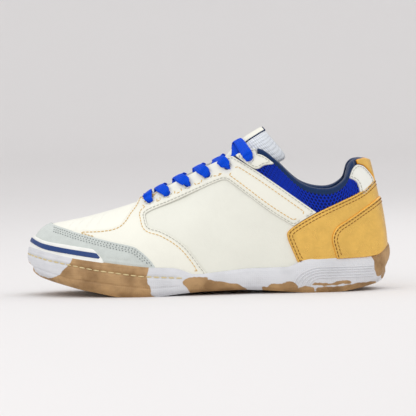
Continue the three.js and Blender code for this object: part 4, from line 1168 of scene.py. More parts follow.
def build_toe():
    """Suede toe guard with needle rows, the foxing strip round the toe and its navy stripe."""
    region = both(in_area(TOE_AREA), above_sole(1.5))
    data, triangles = patch(region, 3.4, levels=(0.3, 0.9, *NEEDLE_ROWS))
    mesh = leather_panel("suede_toe_guard", data, triangles, SUEDE_LAYER, (2.3, 5.5), 0.9)
    add_piece("suede_toe_guard", mesh, MATERIALS["suede"], nodes=["toe_guard"])
    for level in NEEDLE_ROWS:
        sew("needle", data, triangles, level, SUEDE_LAYER, lambda p: clear_of_sole(p, 2) & (p[:, 0] > -126)
            & (depth_in(TOE_AREA, p) < level + 0.6), 0.02)
    region = both(in_area(FOXING_AREA), above_sole(1.5))
    data, triangles = patch(region, 5.0, levels=(0.3, 0.8, 1.4))
    mesh = leather_panel("toe_foxing_strip", data, triangles, FOXING_LAYER, (), 1.2)
    add_piece("toe_foxing_strip", mesh, MATERIALS["foxing"], nodes=["toe_foxing"])
    stripe_spread = 0.75
    data, triangles = patch(lambda p, d: depth_in(STRIPE_AREA, p) + stripe_spread, 5.5, levels=(0.25, 0.6))
    mesh = leather_panel("toe_foxing_stripe", data, triangles, STRIPE_LAYER, (), 0.5)
    add_piece("toe_foxing_stripe", mesh, MATERIALS["stripe"], nodes=["toe_stripe"])


def build_linings():
    region = both(ahead_of(-37), ANYWHERE)
    data, triangles = patch(without(region, eyelet_holes), -1.3, levels=(0.5,))
    mesh = leather_panel("vamp_lining_cloth", data, triangles, LINING_LAYER, (), 0.5)
    add_piece("vamp_lining_cloth", mesh, MATERIALS["pale"], nodes=["vamp_lining"])
    for side in (LATERAL, MEDIAL):
        name = SIDE_NAMES[side]
        region = without(both(behind(-38), at_depth(0.3)), eyelet_holes,
                         lambda p, d: np.where(d[:, U] > COLLAR, 20 - d[:, DEPTH], -99))
        data, triangles = patch(region, -1.3, (side,), (0.5,))
        mesh = leather_panel(f"quarter_lining_cloth_{name}", data, triangles, LINING_LAYER, (), 0.5)
        add_piece(f"quarter_lining_cloth_{name}", mesh, MATERIALS["pale"],
                  nodes=[f"quarter_lining_{name}"])


def build_collar_mesh():
    """A dark ground cloth with raised zigzag yarns over it, which leave diamond holes between them."""
    sizes = bpy.context.scene.court_shoe_sizes
    pitch = sizes.knit_pitch / MM
    region = both(in_area(np.array(COLLAR_KNIT_EDGE)), below_binding, ANYWHERE)
    runs = []
    for side in (LATERAL, MEDIAL):
        name = SIDE_NAMES[side]
        data, triangles = patch(region, 1.5, (side,), (0.4,))
        mesh = leather_panel(f"collar_knit_ground_{name}", data, triangles, KNIT_LAYER, (), 0.5)
        add_piece(f"collar_knit_ground_{name}", mesh, MATERIALS["mesh_base"],
                  nodes=[f"collar_mesh_{name}"])
        us = even_stations(pitch)
        middle = last_point(side, us, np.full(len(us), 0.8))
        distance = np.append(0, np.cumsum(np.linalg.norm(np.diff(middle, axis=0), axis=1)))
        columns = np.arange(distance[us >= 9.6][0], distance[-1] - pitch / 4, pitch / 2)
        for k, place in enumerate(columns):
            depths = np.arange(BINDING_HEIGHT, 46, pitch * 0.42)
            sway = np.where((np.arange(len(depths)) // 2 + k) % 2 == 0, 1, -1) * pitch * 0.23
            u = np.interp(place + sway, distance, us)
            steps, table = section_depths(side, float(np.interp(place, distance, us)))
            v = np.interp(depths, table[::-1], steps[::-1])
            points = last_offset(side, u, v, 1.5)
            inside = depth_in(np.array(COLLAR_YARN_EDGE), points) > 0
            inside &= last_point(side, u, v)[:, 1] * side > 0.2
            starts = np.flatnonzero(inside[:-1] & inside[1:])
            if len(starts):
                run = points[starts[0]:starts[-1] + 2]
                if len(run) > 2:
                    runs.append(chain(run))
    mesh = grown_mesh("collar_knit_yarns", path_mesh("knit_paths", runs), yarn_tree(), {
        "Radius": sizes.knit_pitch * 0.19, "Sides": 5, "Yarn": MATERIALS["mesh"]})
    add_piece("collar_knit_yarns", mesh, None)


# ---------------------------------------------------------------- soft pieces
def closed_loft(rings, flip=False):
    """Faces of a closed mesh through equal rings of points, capped at both ends."""
    count, length = len(rings[0]), len(rings)
    index = np.arange(count * length).reshape(length, count)
    after = np.roll(index, -1, axis=1)
    quads = np.column_stack([index[:-1].ravel(), after[:-1].ravel(), after[1:].ravel(), index[1:].ravel()])
    faces = quads.tolist() + [index[0][::-1].tolist(), index[-1].tolist()]
    return [f[::-1] for f in faces] if flip else faces


def outward(mesh):
    """Joins doubles and turns every face outwards."""
    work = bmesh.new()
    work.from_mesh(mesh)
    bmesh.ops.remove_doubles(work, verts=work.verts, dist=2e-6)
    bmesh.ops.dissolve_degenerate(work, edges=work.edges, dist=1e-7)
    bmesh.ops.recalc_face_normals(work, faces=work.faces)
    work.to_mesh(mesh)
    work.free()
    mesh.update()


def puffed(mesh, held, pressure, limit, frames=16):
    """Blows a soft mesh up a little as cloth: held points stay still, and none moves past the limit."""
    grown_by = 10.0
    scene = bpy.context.scene
    worker = bpy.data.objects.new("cloth_worker", mesh.copy())
    scene.collection.objects.link(worker)
    start = np.zeros(len(mesh.vertices) * 3)
    mesh.vertices.foreach_get("co", start)
    worker.data.vertices.foreach_set("co", start * grown_by)
    group = worker.vertex_groups.new(name="held")
    for weight in np.unique(held):
        group.add(np.flatnonzero(held == weight).tolist(), float(weight), "REPLACE")
    modifier = worker.modifiers.new("cloth", "CLOTH")
    cloth = modifier.settings
    cloth.quality = 5
    cloth.mass = 0.05
    cloth.tension_stiffness = cloth.compression_stiffness = 8
    cloth.shear_stiffness = 4
    cloth.bending_stiffness = 0.4
    cloth.shrink_min = -0.05
    cloth.use_pressure = True
    cloth.uniform_pressure_force = pressure
    cloth.effector_weights.gravity = 0
    cloth.vertex_group_mass = "held"
    modifier.point_cache.frame_start, modifier.point_cache.frame_end = 1, frames
    for number in range(1, frames + 1):
        scene.frame_set(number)
    result = worker.evaluated_get(bpy.context.evaluated_depsgraph_get()).data
    moved = np.zeros(len(result.vertices) * 3)
    result.vertices.foreach_get("co", moved)
    shift = (moved / grown_by - start).reshape(-1, 3)
    reach = np.linalg.norm(shift, axis=1)
    shift *= np.minimum(1, limit / np.maximum(reach, 1e-9))[:, None]
    print(f"{mesh.name}: cloth moved up to {reach.max() / MM:.2f} mm, kept to {limit / MM:.1f} mm")
    mesh.vertices.foreach_set("co", (start.reshape(-1, 3) + shift).ravel())
    bpy.data.objects.remove(worker)
    scene.frame_set(1)


def collar_rings(cross_section, first=10.95, step=1.9):
    """Rings of a collar piece from one side round the heel to the other, of (depth, distance) pairs."""
    us = even_stations(step)
    us = us[us >= first]
    halves = {}
    for side in (LATERAL, MEDIAL):
        rings = []
        for u in us:
            pairs = cross_section(u)
            steps, table = section_depths(side, u)
            v = np.interp(pairs[:, 0], table[::-1], steps[::-1])
            over = np.minimum(0, pairs[:, 0])
            ring = last_offset(side, np.full(len(v), u), v, pairs[:, 1])
            ring[:, 2] -= over
            rings.append(ring)
        halves[side] = rings
    return halves[LATERAL] + halves[MEDIAL][-2::-1]


def foam_depth(u):
    t = np.clip((u - COLLAR - 0.2) / 2, 0.12, 1)
    return 6.5 * t * t * (3 - 2 * t)


def build_collar_padding():
    """The padded lining round the ankle, blown up as cloth between its seams."""
    def section(u):
        thick = foam_depth(u)
        low = 34 - 14 * max(0.0, 1 - abs(u - 14) / 2.5)
        t = np.linspace(0, 1, 17)
        bulge = 0.25 + 0.75 * np.minimum(1, np.sin(np.pi * np.minimum(0.5, (1 - t) * 0.85)) * 1.1)
        depth = BINDING_HEIGHT * 0.6 + (low - BINDING_HEIGHT * 0.6) * t
        inner = np.column_stack([depth, -np.maximum(1.5, thick * bulge) - 1.2])
        outer = np.column_stack([depth[::-2], np.full(len(depth[::-2]), -0.3)])
        return np.vstack([inner, outer])
    rings = collar_rings(section)
    points = placed(np.vstack(rings))
    count = len(rings[0])
    mesh = mesh_from("collar_padding", points, closed_loft(rings), 60)
    row = np.tile(np.arange(count), len(rings))
    ring = np.repeat(np.arange(len(rings)), count)
    free = (row > 1) & (row < 15) & (ring > 1) & (ring < len(rings) - 2)
    puffed(mesh, np.where(free, 0.0, 1.0), 5.0, 0.0016)
    surface_uv(mesh, np.column_stack([ring * 1.9, row * 1.9]) * MM)
    outward(mesh)
    piece = add_piece("collar_padding", mesh, MATERIALS["navy"],
                      nodes=["collar_foam", "collar_lining"])
    smoothed(piece)


def smoothed(piece, levels=1):
    """Rounds a piece off with subdivision and keeps the result as its mesh."""
    modifier = piece.modifiers.new("round", "SUBSURF")
    modifier.levels = modifier.render_levels = levels
    mesh = bpy.data.meshes.new_from_object(piece.evaluated_get(bpy.context.evaluated_depsgraph_get()))
    piece.modifiers.clear()
    piece.data = mesh
    mesh.shade_smooth()


def build_binding():
    """Folded textile binding over the topline, with its seam below the edge on the outside."""
    def section(u):
        thick = foam_depth(u)
        lap = 1.0 if u > 16.1 else 2.2
        inner = -thick * 0.45 - 2.2
        t = np.linspace(0, np.pi, 9)
        middle, half = (lap + inner) / 2, (lap - inner) / 2
        over = np.column_stack([1.2 - 1.9 * np.sin(t), middle + half * np.cos(t)])
        return np.vstack([
            [(BINDING_HEIGHT + 0.6, lap - 0.9), (BINDING_HEIGHT + 0.3, lap - 0.2),
             (BINDING_HEIGHT - 0.6, lap + 0.05), (BINDING_HEIGHT - 1.4, lap - 0.12), (2.4, lap + 0.05)],
            over,
            [(2.8, inner - 0.1), (4.2, inner + 0.1), (5.6, inner + 1.0), (4.2, inner + 1.6), (2.6, middle),
             (4.2, lap - 1.2)],
        ])
    rings = collar_rings(section, 10.9, 1.4)
    count = len(rings[0])
    mesh = mesh_from("topline_binding", placed(np.vstack(rings)), closed_loft(rings), 60)
    row = np.tile(np.arange(count), len(rings))
    ring = np.repeat(np.arange(len(rings)), count)
    surface_uv(mesh, np.column_stack([ring * 1.4, row * 1.0]) * MM)
    outward(mesh)
    piece = add_piece("topline_binding", mesh, MATERIALS["navy"], nodes=["collar_binding"])
    smoothed(piece)


def tongue_value(t, column):
    t = np.asarray(t, float)
    i = np.clip(np.floor(t).astype(int), 0, len(TONGUE_STATIONS) - 2)
    p = np.vstack([TONGUE_STATIONS[:1], TONGUE_STATIONS, TONGUE_STATIONS[-1:]])[:, column]
    return catmull(p[i], p[i + 1], p[i + 2], p[i + 3], t - i)


def tongue_thickness(t):
    return np.interp(t, np.arange(len(TONGUE_STATIONS)), TONGUE_STATIONS[:, 4])


def tongue_point(t, across, depth):
    """Points of the tongue: t up its stations, across from -1 to 1, and depth down from the cover."""
    t, across, depth = np.broadcast_arrays(*(np.asarray(value, float) for value in (t, across, depth)))
    slope = np.minimum(0.72, 0.3 + 0.06 * t)
    angle = across * 1.35
    drop = tongue_value(t, 3) * (1 - np.cos(angle)) / (1 - np.cos(1.35)) + depth * np.cos(angle * 0.8)
    width = (tongue_value(t, 2) - depth * np.abs(np.sin(angle)) * 0.8) * np.sin(angle) / np.sin(1.35)
    return np.stack([tongue_value(t, 0) * LENGTH_SCALE + np.sin(slope) * drop, width,
                     tongue_value(t, 1) - np.cos(slope) * drop - across * across * 0.5], axis=-1)


def cover_reach(t):
    """Share of the tongue's width that the leather cover takes: it narrows towards the top."""
    return np.interp(t, [0, 3, 4.6, 8], [0.95, 0.82, 0.36, 0.3])


def build_tongue():
    """Leather cover, with a dark navy cord along its rim that stands in for the shadow in the gap under its
    edge (a painted shadow line), over a padded mesh cushion that bulges out past its sides.
    """
    ts, across = np.linspace(0, 8, 84), np.linspace(-1, 1, 45)
    tt, aa = np.meshgrid(ts, across, indexing="ij")
    edge = np.minimum((1 - np.abs(aa)) * 24 * cover_reach(tt), (8 - tt) * 9)
    aa = aa * cover_reach(tt)
    lift = 0.0 - 0.9 * (1 - np.sqrt(np.clip(1 - (1 - np.clip(edge / 1.2, 0, 1)) ** 2, 0, 1)))
    lift = lift - 0.25 * np.exp(-(((edge - 2.6) / 0.8) ** 2))
    top = tongue_point(tt, aa, -lift).reshape(-1, 3)
    low = tongue_point(tt, aa, 1.25).reshape(-1, 3)
    triangles = grid_triangles(*tt.shape)
    rim = outer_edges(triangles)
    walls = np.column_stack([rim[:, 1], rim[:, 0], rim[:, 0] + tt.size, rim[:, 1] + tt.size])
    faces = triangles.tolist() + (triangles[:, ::-1] + tt.size).tolist() + walls.tolist()
    mesh = mesh_from("tongue_cover_leather", placed(np.vstack([top, low])), faces, 50)
    point_values(mesh, "edge", np.tile(np.clip(edge.ravel(), 0, 30), 2))
    outward(mesh)
    add_piece("tongue_cover_leather", mesh, MATERIALS["overlay"], "tongue",
              ["tongue_cover"])
    # The navy cord along the cover's border is painted shadow: it stands in for the dark gap under the
    # cover's edge.
    path_t = np.concatenate([np.linspace(1, 7.97, 60), np.full(20, 7.97), np.linspace(7.97, 1, 60)])
    path_a = np.concatenate([np.full(60, -1.0), np.linspace(-1.0, 1.0, 20), np.full(60, 1.0)])
    path = chain(tongue_point(path_t, path_a * cover_reach(path_t), 1.0))
    shadow_cord = grown_mesh("tongue_shadow_cord", path_mesh("tongue_path", [path]),
                        bpy.data.node_groups["swept_yarn"],
                        {"Radius": 0.0007, "Sides": 6, "Yarn": MATERIALS["shadow_line_yarn"]})
    add_piece("tongue_shadow_cord", shadow_cord, None, "tongue")

    rings = []
    for t in np.linspace(0.05, 7.93, 52):
        thick = float(tongue_thickness(t))
        wide = 1 + 0.1 * np.clip((t - 3.2) / 2, 0, 1)
        end = np.sqrt(np.clip(1 - (1 - np.clip((7.93 - t) / 1.1, 0.01, 1)) ** 2, 0.02, 1))
        across = np.linspace(-1, 1, 25) * wide * (0.8 + 0.2 * end)
        bare = np.clip((np.abs(across) - cover_reach(t)) / 0.08, 0, 1)
        upper = tongue_point(t, across, 1.3 - 0.8 * bare * np.clip((t - 2) / 2, 0, 1))
        belly = 0.55 + 0.45 * np.cos(across[::-1] * 1.2)
        under = tongue_point(t, across[::-1] * 0.93, 1.3 + (thick - 1.3) * end * belly)
        bow = 1.035 * wide * (0.8 + 0.2 * end)
        side = tongue_point(t, np.array([bow]), 1.3 + (thick - 1.3) * end * 0.45)
        other = tongue_point(t, np.array([-bow]), 1.3 + (thick - 1.3) * end * 0.45)
        rings.append(np.vstack([upper, side, under, other]))
    count = len(rings[0])
    mesh = mesh_from("tongue_cushion", placed(np.vstack(rings)), closed_loft(rings), 70)
    row = np.tile(np.arange(count), len(rings))
    ring = np.repeat(np.arange(len(rings)), count)
    free = (row > 25) & (row < 51) & (ring > 12) & (ring < 50)
    puffed(mesh, np.where(free, 0.0, 1.0), 5.0, 0.0018)
    surface_uv(mesh, np.column_stack([ring * 2.6, row * 1.9]) * MM)
    outward(mesh)
    piece = add_piece("tongue_cushion", mesh, MATERIALS["pale"], "tongue",
                      ["tongue_foam", "tongue_lining"])
    smoothed(piece)


# ---------------------------------------------------------------- lace
def beside_eyelet(side, n, depth, distance, shift=0.0):
    u = EYELET_PLACES[side, n][0] + shift
    return last_offset(side, u, v_at_depth(side, u, depth), distance)[0]


def lace_route():
    """The lace's points with the way its flat faces, its width and its thickness, in millimetres."""
    sizes = bpy.context.scene.court_shoe_sizes
    wide, thin = sizes.lace_width / MM, sizes.lace_thickness / MM
    narrow, thick = wide * 0.5, thin * 1.7
    radius = 1.05
    over = lambda n: (5.0 if n == EYELETS - 1 else 3.4) + 0.3 + radius
    under = -2.3 - 0.3 - radius
    rows = []

    def normal(side, n, depth, shift=0.0):
        u = EYELET_PLACES[side, n][0] + shift
        return last_normal(side, np.array([u]), np.array([v_at_depth(side, u, min(depth, 20))]))[0]

    def add(point, facing, width, thickness):
        rows.append((point, facing, width, thickness))

    def crossing(side, n, lift):
        low = beside_eyelet(-side, n - 1, 0, 0)
        high = beside_eyelet(side, n, 0, over(n))
        middle = (low + high) / 2
        top = np.interp(middle[0], TONGUE_STATIONS[:, 0] * LENGTH_SCALE, TONGUE_STATIONS[:, 1])
        middle[2] = max(high[2] - (5.0 if n == EYELETS - 1 else 3.4), top + 1.2) + lift
        return middle

    def run(first_side):
        for n in range(EYELETS - 1, 0, -1):
            side = first_side * (-1) ** (EYELETS - 1 - n)
            add(beside_eyelet(side, n, EYELET_DEPTH, under), normal(side, n, EYELET_DEPTH), narrow, thick)
            add(beside_eyelet(side, n, EYELET_DEPTH + 0.6, over(n) - 0.1), normal(side, n, EYELET_DEPTH),
                wide * 0.78, thin * 1.3)
            add(beside_eyelet(side, n, 4.9, over(n) + 1.0, -0.05), normal(side, n, 4.6),
                wide * 1.08, thin * 1.2)
            add(beside_eyelet(side, n, 0.9, over(n) + 0.1, -0.16), normal(side, n, 0.6), wide * 1.08, thin)
            add(crossing(side, n, 1.7 if side == LATERAL else 0), np.array([-0.45, 0, 0.9]),
                wide * 0.95, thin)
            add(beside_eyelet(-side, n - 1, -3, -4.2, 0.25), normal(-side, n - 1, 0), wide * 0.8, thin)
            add(beside_eyelet(-side, n - 1, 3.2, under - 0.4, 0.12), normal(-side, n - 1, 3.2),
                wide * 0.7, thin)

    def bar(side):
        return [
            (beside_eyelet(side, 0, EYELET_DEPTH, under), normal(side, 0, EYELET_DEPTH), narrow, thick),
            (beside_eyelet(side, 0, EYELET_DEPTH + 0.6, over(0) - 0.1), normal(side, 0, EYELET_DEPTH),
             wide * 0.78, thin * 1.3),
            (beside_eyelet(side, 0, 4.4, over(0) + 1.2), normal(side, 0, 4.4), wide * 1.02, thin * 1.15),
            (beside_eyelet(side, 0, 0.8, over(0) + 0.8), normal(side, 0, 1), wide, thin),
        ]

    def tail(side):
        top = EYELETS - 1
        return [(beside_eyelet(side, top, depth, under - room, 0.1), normal(side, top, depth),
                 wide * 0.75, thin) for depth, room in ((24, 1), (17, 0.8), (11, 0.6))]

    run(LATERAL)
    first = list(rows)
    rows.clear()
    run(MEDIAL)
    second = list(rows)
    near, far = (MEDIAL, LATERAL) if (EYELETS - 1) % 2 else (LATERAL, MEDIAL)
    return [*tail(LATERAL), *first, *bar(near), *bar(far)[::-1], *second[::-1], *tail(MEDIAL)[::-1]]


def build_lace():
    """Flat woven lace, folded narrow through its eyelets."""
    route = lace_route()
    points = np.array([r[0] for r in route])
    facings = np.array([r[1] for r in route])
    sizes = np.array([r[2:] for r in route])
    steps = 12
    t = np.arange(steps)[:, None] / steps
    padded = np.vstack([2 * points[0] - points[1], points, 2 * points[-1] - points[-2]])
    centre = np.vstack([catmull(*padded[i:i + 4], t) for i in range(len(points) - 1)])
    centre = np.vstack([centre, points[-1]])
    place = np.arange(len(centre)) / steps
    key = np.arange(len(points))
    ease = np.floor(place) + (lambda f: f * f * (3 - 2 * f))(place - np.floor(place))
    width, thickness = (np.interp(ease, key, sizes[:, k]) for k in (0, 1))
    tangent = np.gradient(centre, axis=0)
    tangent /= np.linalg.norm(tangent, axis=1)[:, None]
    coarse = np.gradient(points, axis=0)
    across_key = np.cross(coarse, facings)
    straight = np.linalg.norm(across_key, axis=1) < 0.45 * np.linalg.norm(coarse, axis=1)
    across_key /= np.linalg.norm(across_key, axis=1)[:, None]
    for i in range(len(points)):
        if straight[i]:
            ahead = next((j for j in range(i + 1, len(points)) if not straight[j]), None)
            before = next((j for j in range(i - 1, -1, -1) if not straight[j]), None)
            use_ahead = ahead is not None and (before is None or ahead - i <= i - before)
            across_key[i] = across_key[ahead if use_ahead else before]
    for i in range(1, len(points)):
        if across_key[i] @ across_key[i - 1] < 0:
            across_key[i] *= -1
    across = np.column_stack([np.interp(ease, key, across_key[:, k]) for k in range(3)])
    across -= tangent * np.sum(across * tangent, axis=1)[:, None]
    across /= np.linalg.norm(across, axis=1)[:, None]
    facing = np.cross(across, tangent)
    corners = 16
    angle = np.arange(corners) * 2 * np.pi / corners
    flat = np.sign(np.cos(angle)) * np.abs(np.cos(angle)) ** 0.8
    proud = np.sign(np.sin(angle)) * np.abs(np.sin(angle)) ** 0.75
    rings = [c + a * (w / 2) * flat[:, None] + f * (h / 2) * proud[:, None]
             for c, a, f, w, h in zip(centre, across, facing, width, thickness)]
    mesh = mesh_from("flat_lace", placed(np.vstack(rings)), closed_loft(rings), 70)
    length = np.append(0, np.cumsum(np.linalg.norm(np.diff(centre, axis=0), axis=1)))
    surface_uv(mesh, np.column_stack([np.tile(flat, len(rings)) * np.repeat(width, corners) / 2,
                                      np.repeat(length, corners)]) * MM)
    outward(mesh)
    add_piece("flat_lace", mesh, MATERIALS["lace"], nodes=["lace"])
    print(f"lace length {length[-1]:.0f} mm")


# ---------------------------------------------------------------- sole unit
def gum_field(x, z):
    """Distance in millimetres into the gum-coloured areas of the rubber; negative in the white."""
    return np.maximum.reduce([inside_distance(eased_area(a), x, z) for a in GUM_AREAS])


def eased_area(points):
    p = np.array(points, float)
    p = np.vstack([p[-1], p, p[:2]])
    t = np.arange(3)[:, None] / 3
    return np.vstack([catmull(p[i], p[i + 1], p[i + 2], p[i + 3], t) for i in range(len(p) - 3)])


def wall_inset(height, x, z):
    """How far the wall stands in from the sole's outline, with its stitch channel and moulded groove."""
    inset = sum(np.interp(np.clip(height + s, 0, 1), *WALL_SHAPE[:, :2].T) for s in (-0.05, 0, 0.05)) / 3
    fade = np.clip((-23 - x) / 4, 0, 1)
    channel = np.exp(-(((z - lookup(THREAD_LINE, x)) / 1.25) ** 2)) * fade
    groove = np.exp(-(((z - lookup(GROOVE_LINE, x)) / 0.7) ** 2)) * fade
    lip = np.exp(-(((z - smooth_profile(SOLE_TOP, x) + 2.4) / 0.6) ** 2)) * np.clip((-50 - x) / 10, 0, 1)
    return inset + 0.95 * channel + 0.6 * groove + 0.3 * lip


def wall_point(side, u, z):
    """Point of the cupsole's wall at a height."""
    x = sole_outline(side, u, 0)[:, 0]
    low, high = smooth_profile(SOLE_BOTTOM, x), smooth_profile(SOLE_TOP, x)
    height = np.clip((z - low) / (high - low), 0, 1)
    place = sole_outline(side, u, wall_inset(height, x, z))
    return np.column_stack([place[:, 0], side * place[:, 1], z])


SOLE_RECESS = 1.5
WALL_LEVELS = 58
TREAD_COLUMNS = 46


def sole_half(side, us):
    """For one side: the wall's rows from foot to lip, then over the lip and down behind the upper."""
    x = sole_outline(side, us, 0)[:, 0]
    low, high = smooth_profile(SOLE_BOTTOM, x), smooth_profile(SOLE_TOP, x)
    rows = []
    for h in np.linspace(0, 1, WALL_LEVELS):
        z = low + (high - low) * h
        place = sole_outline(side, us, wall_inset(np.full(len(us), h), x, z))
        rows.append(np.column_stack([place[:, 0], side * place[:, 1], z]))
    steps = np.linspace(0, 1, 61)
    lip = []
    for u, top in zip(us, high):
        heights = last_point(side, np.full(61, u), steps)[:, 2]
        lip.append(last_offset(side, u, float(np.interp(top, heights, steps)), 1.0)[0])
    lip = np.array(lip)
    crown = rows[-1] * 0.55 + lip * 0.45
    crown[:, 2] = high + 0.45
    foot = lip.copy()
    foot[:, 2] = np.minimum(low + 4.5, lip[:, 2] - 1)
    return [*rows, crown, lip, foot]


def build_cupsole():
    us = even_stations(1.45)
    lateral, medial = sole_half(LATERAL, us), sole_half(MEDIAL, us)
    tread = []
    for k in range(1, TREAD_COLUMNS):
        t = k / TREAD_COLUMNS
        row = medial[0] * (1 - t) + lateral[0] * t
        wide = np.abs(lateral[0][:, 1] - medial[0][:, 1])
        margin = np.minimum(t, 1 - t) * wide
        row[:, 2] = smooth_profile(SOLE_BOTTOM, row[:, 0]) + SOLE_RECESS * np.clip((margin - 3.0) / 1.2, 0, 1)
        tread.append(row)
    rows = [*lateral, *medial[::-1], *tread]
    rings = np.stack(rows, axis=1)
    faces = closed_loft(list(rings))
    points = rings.reshape(-1, 3)
    mesh = mesh_from("cupsole_rubber", placed(points), faces[:-2], 45)
    point_values(mesh, "gum", gum_field(points[:, 0], points[:, 2]) + 0.5 * (points[:, 1] > 0))
    outward(mesh)
    mesh.shade_smooth()
    mesh.set_sharp_from_angle(angle=math.radians(50))
    add_piece("cupsole_rubber", mesh, MATERIALS["rubber"], nodes=["cupsole"])
    build_tread(lateral[0], medial[0])
    build_ribs(us)
    build_sidewall_stitches()


def build_tread(lateral, medial):
    """Rows of six-sided lugs, set back from the sole's rim and smaller near it."""
    pitch = bpy.context.scene.court_shoe_sizes.lug_pitch / MM
    points, sizes = [], []
    for row, x in enumerate(np.arange(-132, 138, pitch * 0.866)):
        sides = [np.interp(x, edge[:, 0], edge[:, 1]) for edge in (lateral, medial)]
        for y in np.arange(-54, 54, pitch) + (row % 2) * pitch / 2:
            margin = min(y - sides[0], sides[1] - y)
            if margin > 3.6:
                z = float(smooth_profile(SOLE_BOTTOM, x))
                points.append((x, y, z + 0.85))
                sizes.append(min(1.0, 0.55 + (margin - 3.6) / 8))
    source = bpy.data.meshes.new("lug_places")
    source.from_pydata(placed(points).tolist(), [], [])
    point_values(source, "size", sizes)
    xz = np.array(points)
    point_values(source, "gum", gum_field(xz[:, 0], xz[:, 2] - 0.8) + 2.0)
    mesh = grown_mesh("tread_lugs", source, lug_tree(), {
        "Lug Radius": pitch * 0.44 * MM, "Lug Height": 1.7 * MM, "Rubber": MATERIALS["rubber"]})
    add_piece("tread_lugs", mesh, None)


def build_ribs(us):
    """Thin ribs round the heel, which curl down in nested arcs at their front ends."""
    runs = []
    for side in (LATERAL, MEDIAL):
        wall_x = sole_outline(side, us, 0)[:, 0]
        for reach in (15.6, 13.7, 11.7, 9.4, 7.2):
            angle = np.linspace(np.radians(200), np.radians(90), 26)
            arc_x, arc_z = 92 + 1.5 * reach * np.cos(angle), 5 + reach * np.sin(angle)
            x = np.concatenate([arc_x, np.linspace(93, 134, 34)])
            z = np.concatenate([arc_z, np.full(34, 5 + reach)])
            x, z = x[z > 6.2], z[z > 6.2]
            u = np.interp(x, wall_x, us)
            points = wall_point(side, u, z)
            points[:, 1] -= side * 0.12
            runs.append((points, x, z))
    source = path_mesh("rib_paths", [chain(points) for points, _, _ in runs])
    all_x, all_z = (np.concatenate([run[k] for run in runs]) for k in (1, 2))
    point_values(source, "gum", gum_field(all_x, all_z))
    mesh = grown_mesh("heel_ribs", source, bpy.data.node_groups["swept_yarn"], {
        "Radius": 0.75 * MM, "Sides": 8, "Yarn": MATERIALS["rubber"]})
    add_piece("heel_ribs", mesh, None)


def build_sidewall_stitches():
    sizes = bpy.context.scene.court_shoe_sizes
    u = np.linspace(0, 7.2, 150)
    halves = []
    for side in (LATERAL, MEDIAL):
        x = sole_outline(side, u, 0)[:, 0]
        points = wall_point(side, u, lookup(THREAD_LINE, x))
        points[:, 1] += side * 0.3
        points[:, 0] -= 0.3 * np.clip((0.6 - u) / 0.6, 0, 1)
        halves.append(points)
    path = np.vstack([halves[0][::-1], halves[1][1:]])
    values = {"Pitch": sizes.sole_stitch_pitch, "Stitch Length": sizes.sole_stitch_pitch * 0.84,
              "Thread Radius": 0.62 * MM, "Thread": MATERIALS["cream_thread"]}
    mesh = grown_mesh("sidewall_stitches", path_mesh("sidewall_path", [chain(path)]),
                      bpy.data.node_groups["stitch_rows"], values)
    add_piece("sidewall_stitches", mesh, None, nodes=["sidewall_thread"])


def build_sockliner():
    """The removable sockliner: a moulded sheet with a rounded rim, dished for the foot."""
    us = even_stations(3.0)
    rows = [last_offset(side, us, np.zeros(len(us)), -4.3) for side in (LATERAL, MEDIAL)]
    base = np.interp(rows[0][:, 0], *feather_line()) + 2.4
    columns = np.linspace(0, 1, 19)
    top, bottom = [], []
    for k in columns:
        row = rows[0] * (1 - k) + rows[1] * k
        margin = np.minimum(k, 1 - k) * np.abs(rows[0][:, 1] - rows[1][:, 1])
        rim = np.sqrt(np.clip(1 - (1 - np.clip(margin / 3, 0, 1)) ** 2, 0, 1))
        upper = row.copy()
        upper[:, 2] = base + 1.2 + 2.6 * rim - 0.8 * np.clip(margin / 25, 0, 1)
        lower = row.copy()
        lower[:, 2] = base
        top.append(upper)
        bottom.append(lower)
    rings = np.stack([*top, *bottom[::-1]], axis=1)
    mesh = mesh_from("sockliner_sheet", placed(rings.reshape(-1, 3)), closed_loft(list(rings))[:-2], 60)
    flat = rings.reshape(-1, 3)
    surface_uv(mesh, flat[:, :2] * MM)
    outward(mesh)
    add_piece("sockliner_sheet", mesh, MATERIALS["navy"], "insole", ["sockliner"])


def feather_line():
    rows = sole_outline(LATERAL, np.arange(LAST + 1.0), WALL)
    return rows[:, 0], FEATHER_HEIGHTS


def stitch_values(thread):
    sizes = bpy.context.scene.court_shoe_sizes
    return {"Pitch": sizes.stitch_pitch, "Stitch Length": sizes.stitch_pitch * 0.88,
            "Thread Radius": sizes.thread_radius, "Thread": MATERIALS[thread]}


def build_seams():
    """Every row of stitches gathered by thread."""
    threads = {"tan": "tan_thread", "grey": "grey_thread", "brown": "brown_thread", "needle": "needle"}
    for colour, thread in threads.items():
        values = stitch_values(thread)
        if colour == "needle":
            values.update({"Pitch": 0.0026, "Stitch Length": 0.0011, "Thread Radius": 0.00036})
        name = f"{colour}_stitches"
        paths = path_mesh(f"{colour}_paths", SEAMS[colour])
        mesh = grown_mesh(name, paths, bpy.data.node_groups["stitch_rows"], values)
        add_piece(name, mesh, None)


INNER_FINISHES = {
    "midsole": "foam", "shank": "steel", "insole_board": "fibre", "toe_puff": "fibre",
    "heel_counter": "fibre", "eyestay_backer_lateral": "fibre", "eyestay_backer_medial": "fibre",
    "aglet_lateral": "film", "aglet_medial": "film",
}


def finish_inner_nodes():
    for node, key in INNER_FINISHES.items():
        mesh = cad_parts[node].data
        mesh.materials.clear()
        mesh.materials.append(MATERIALS[key])


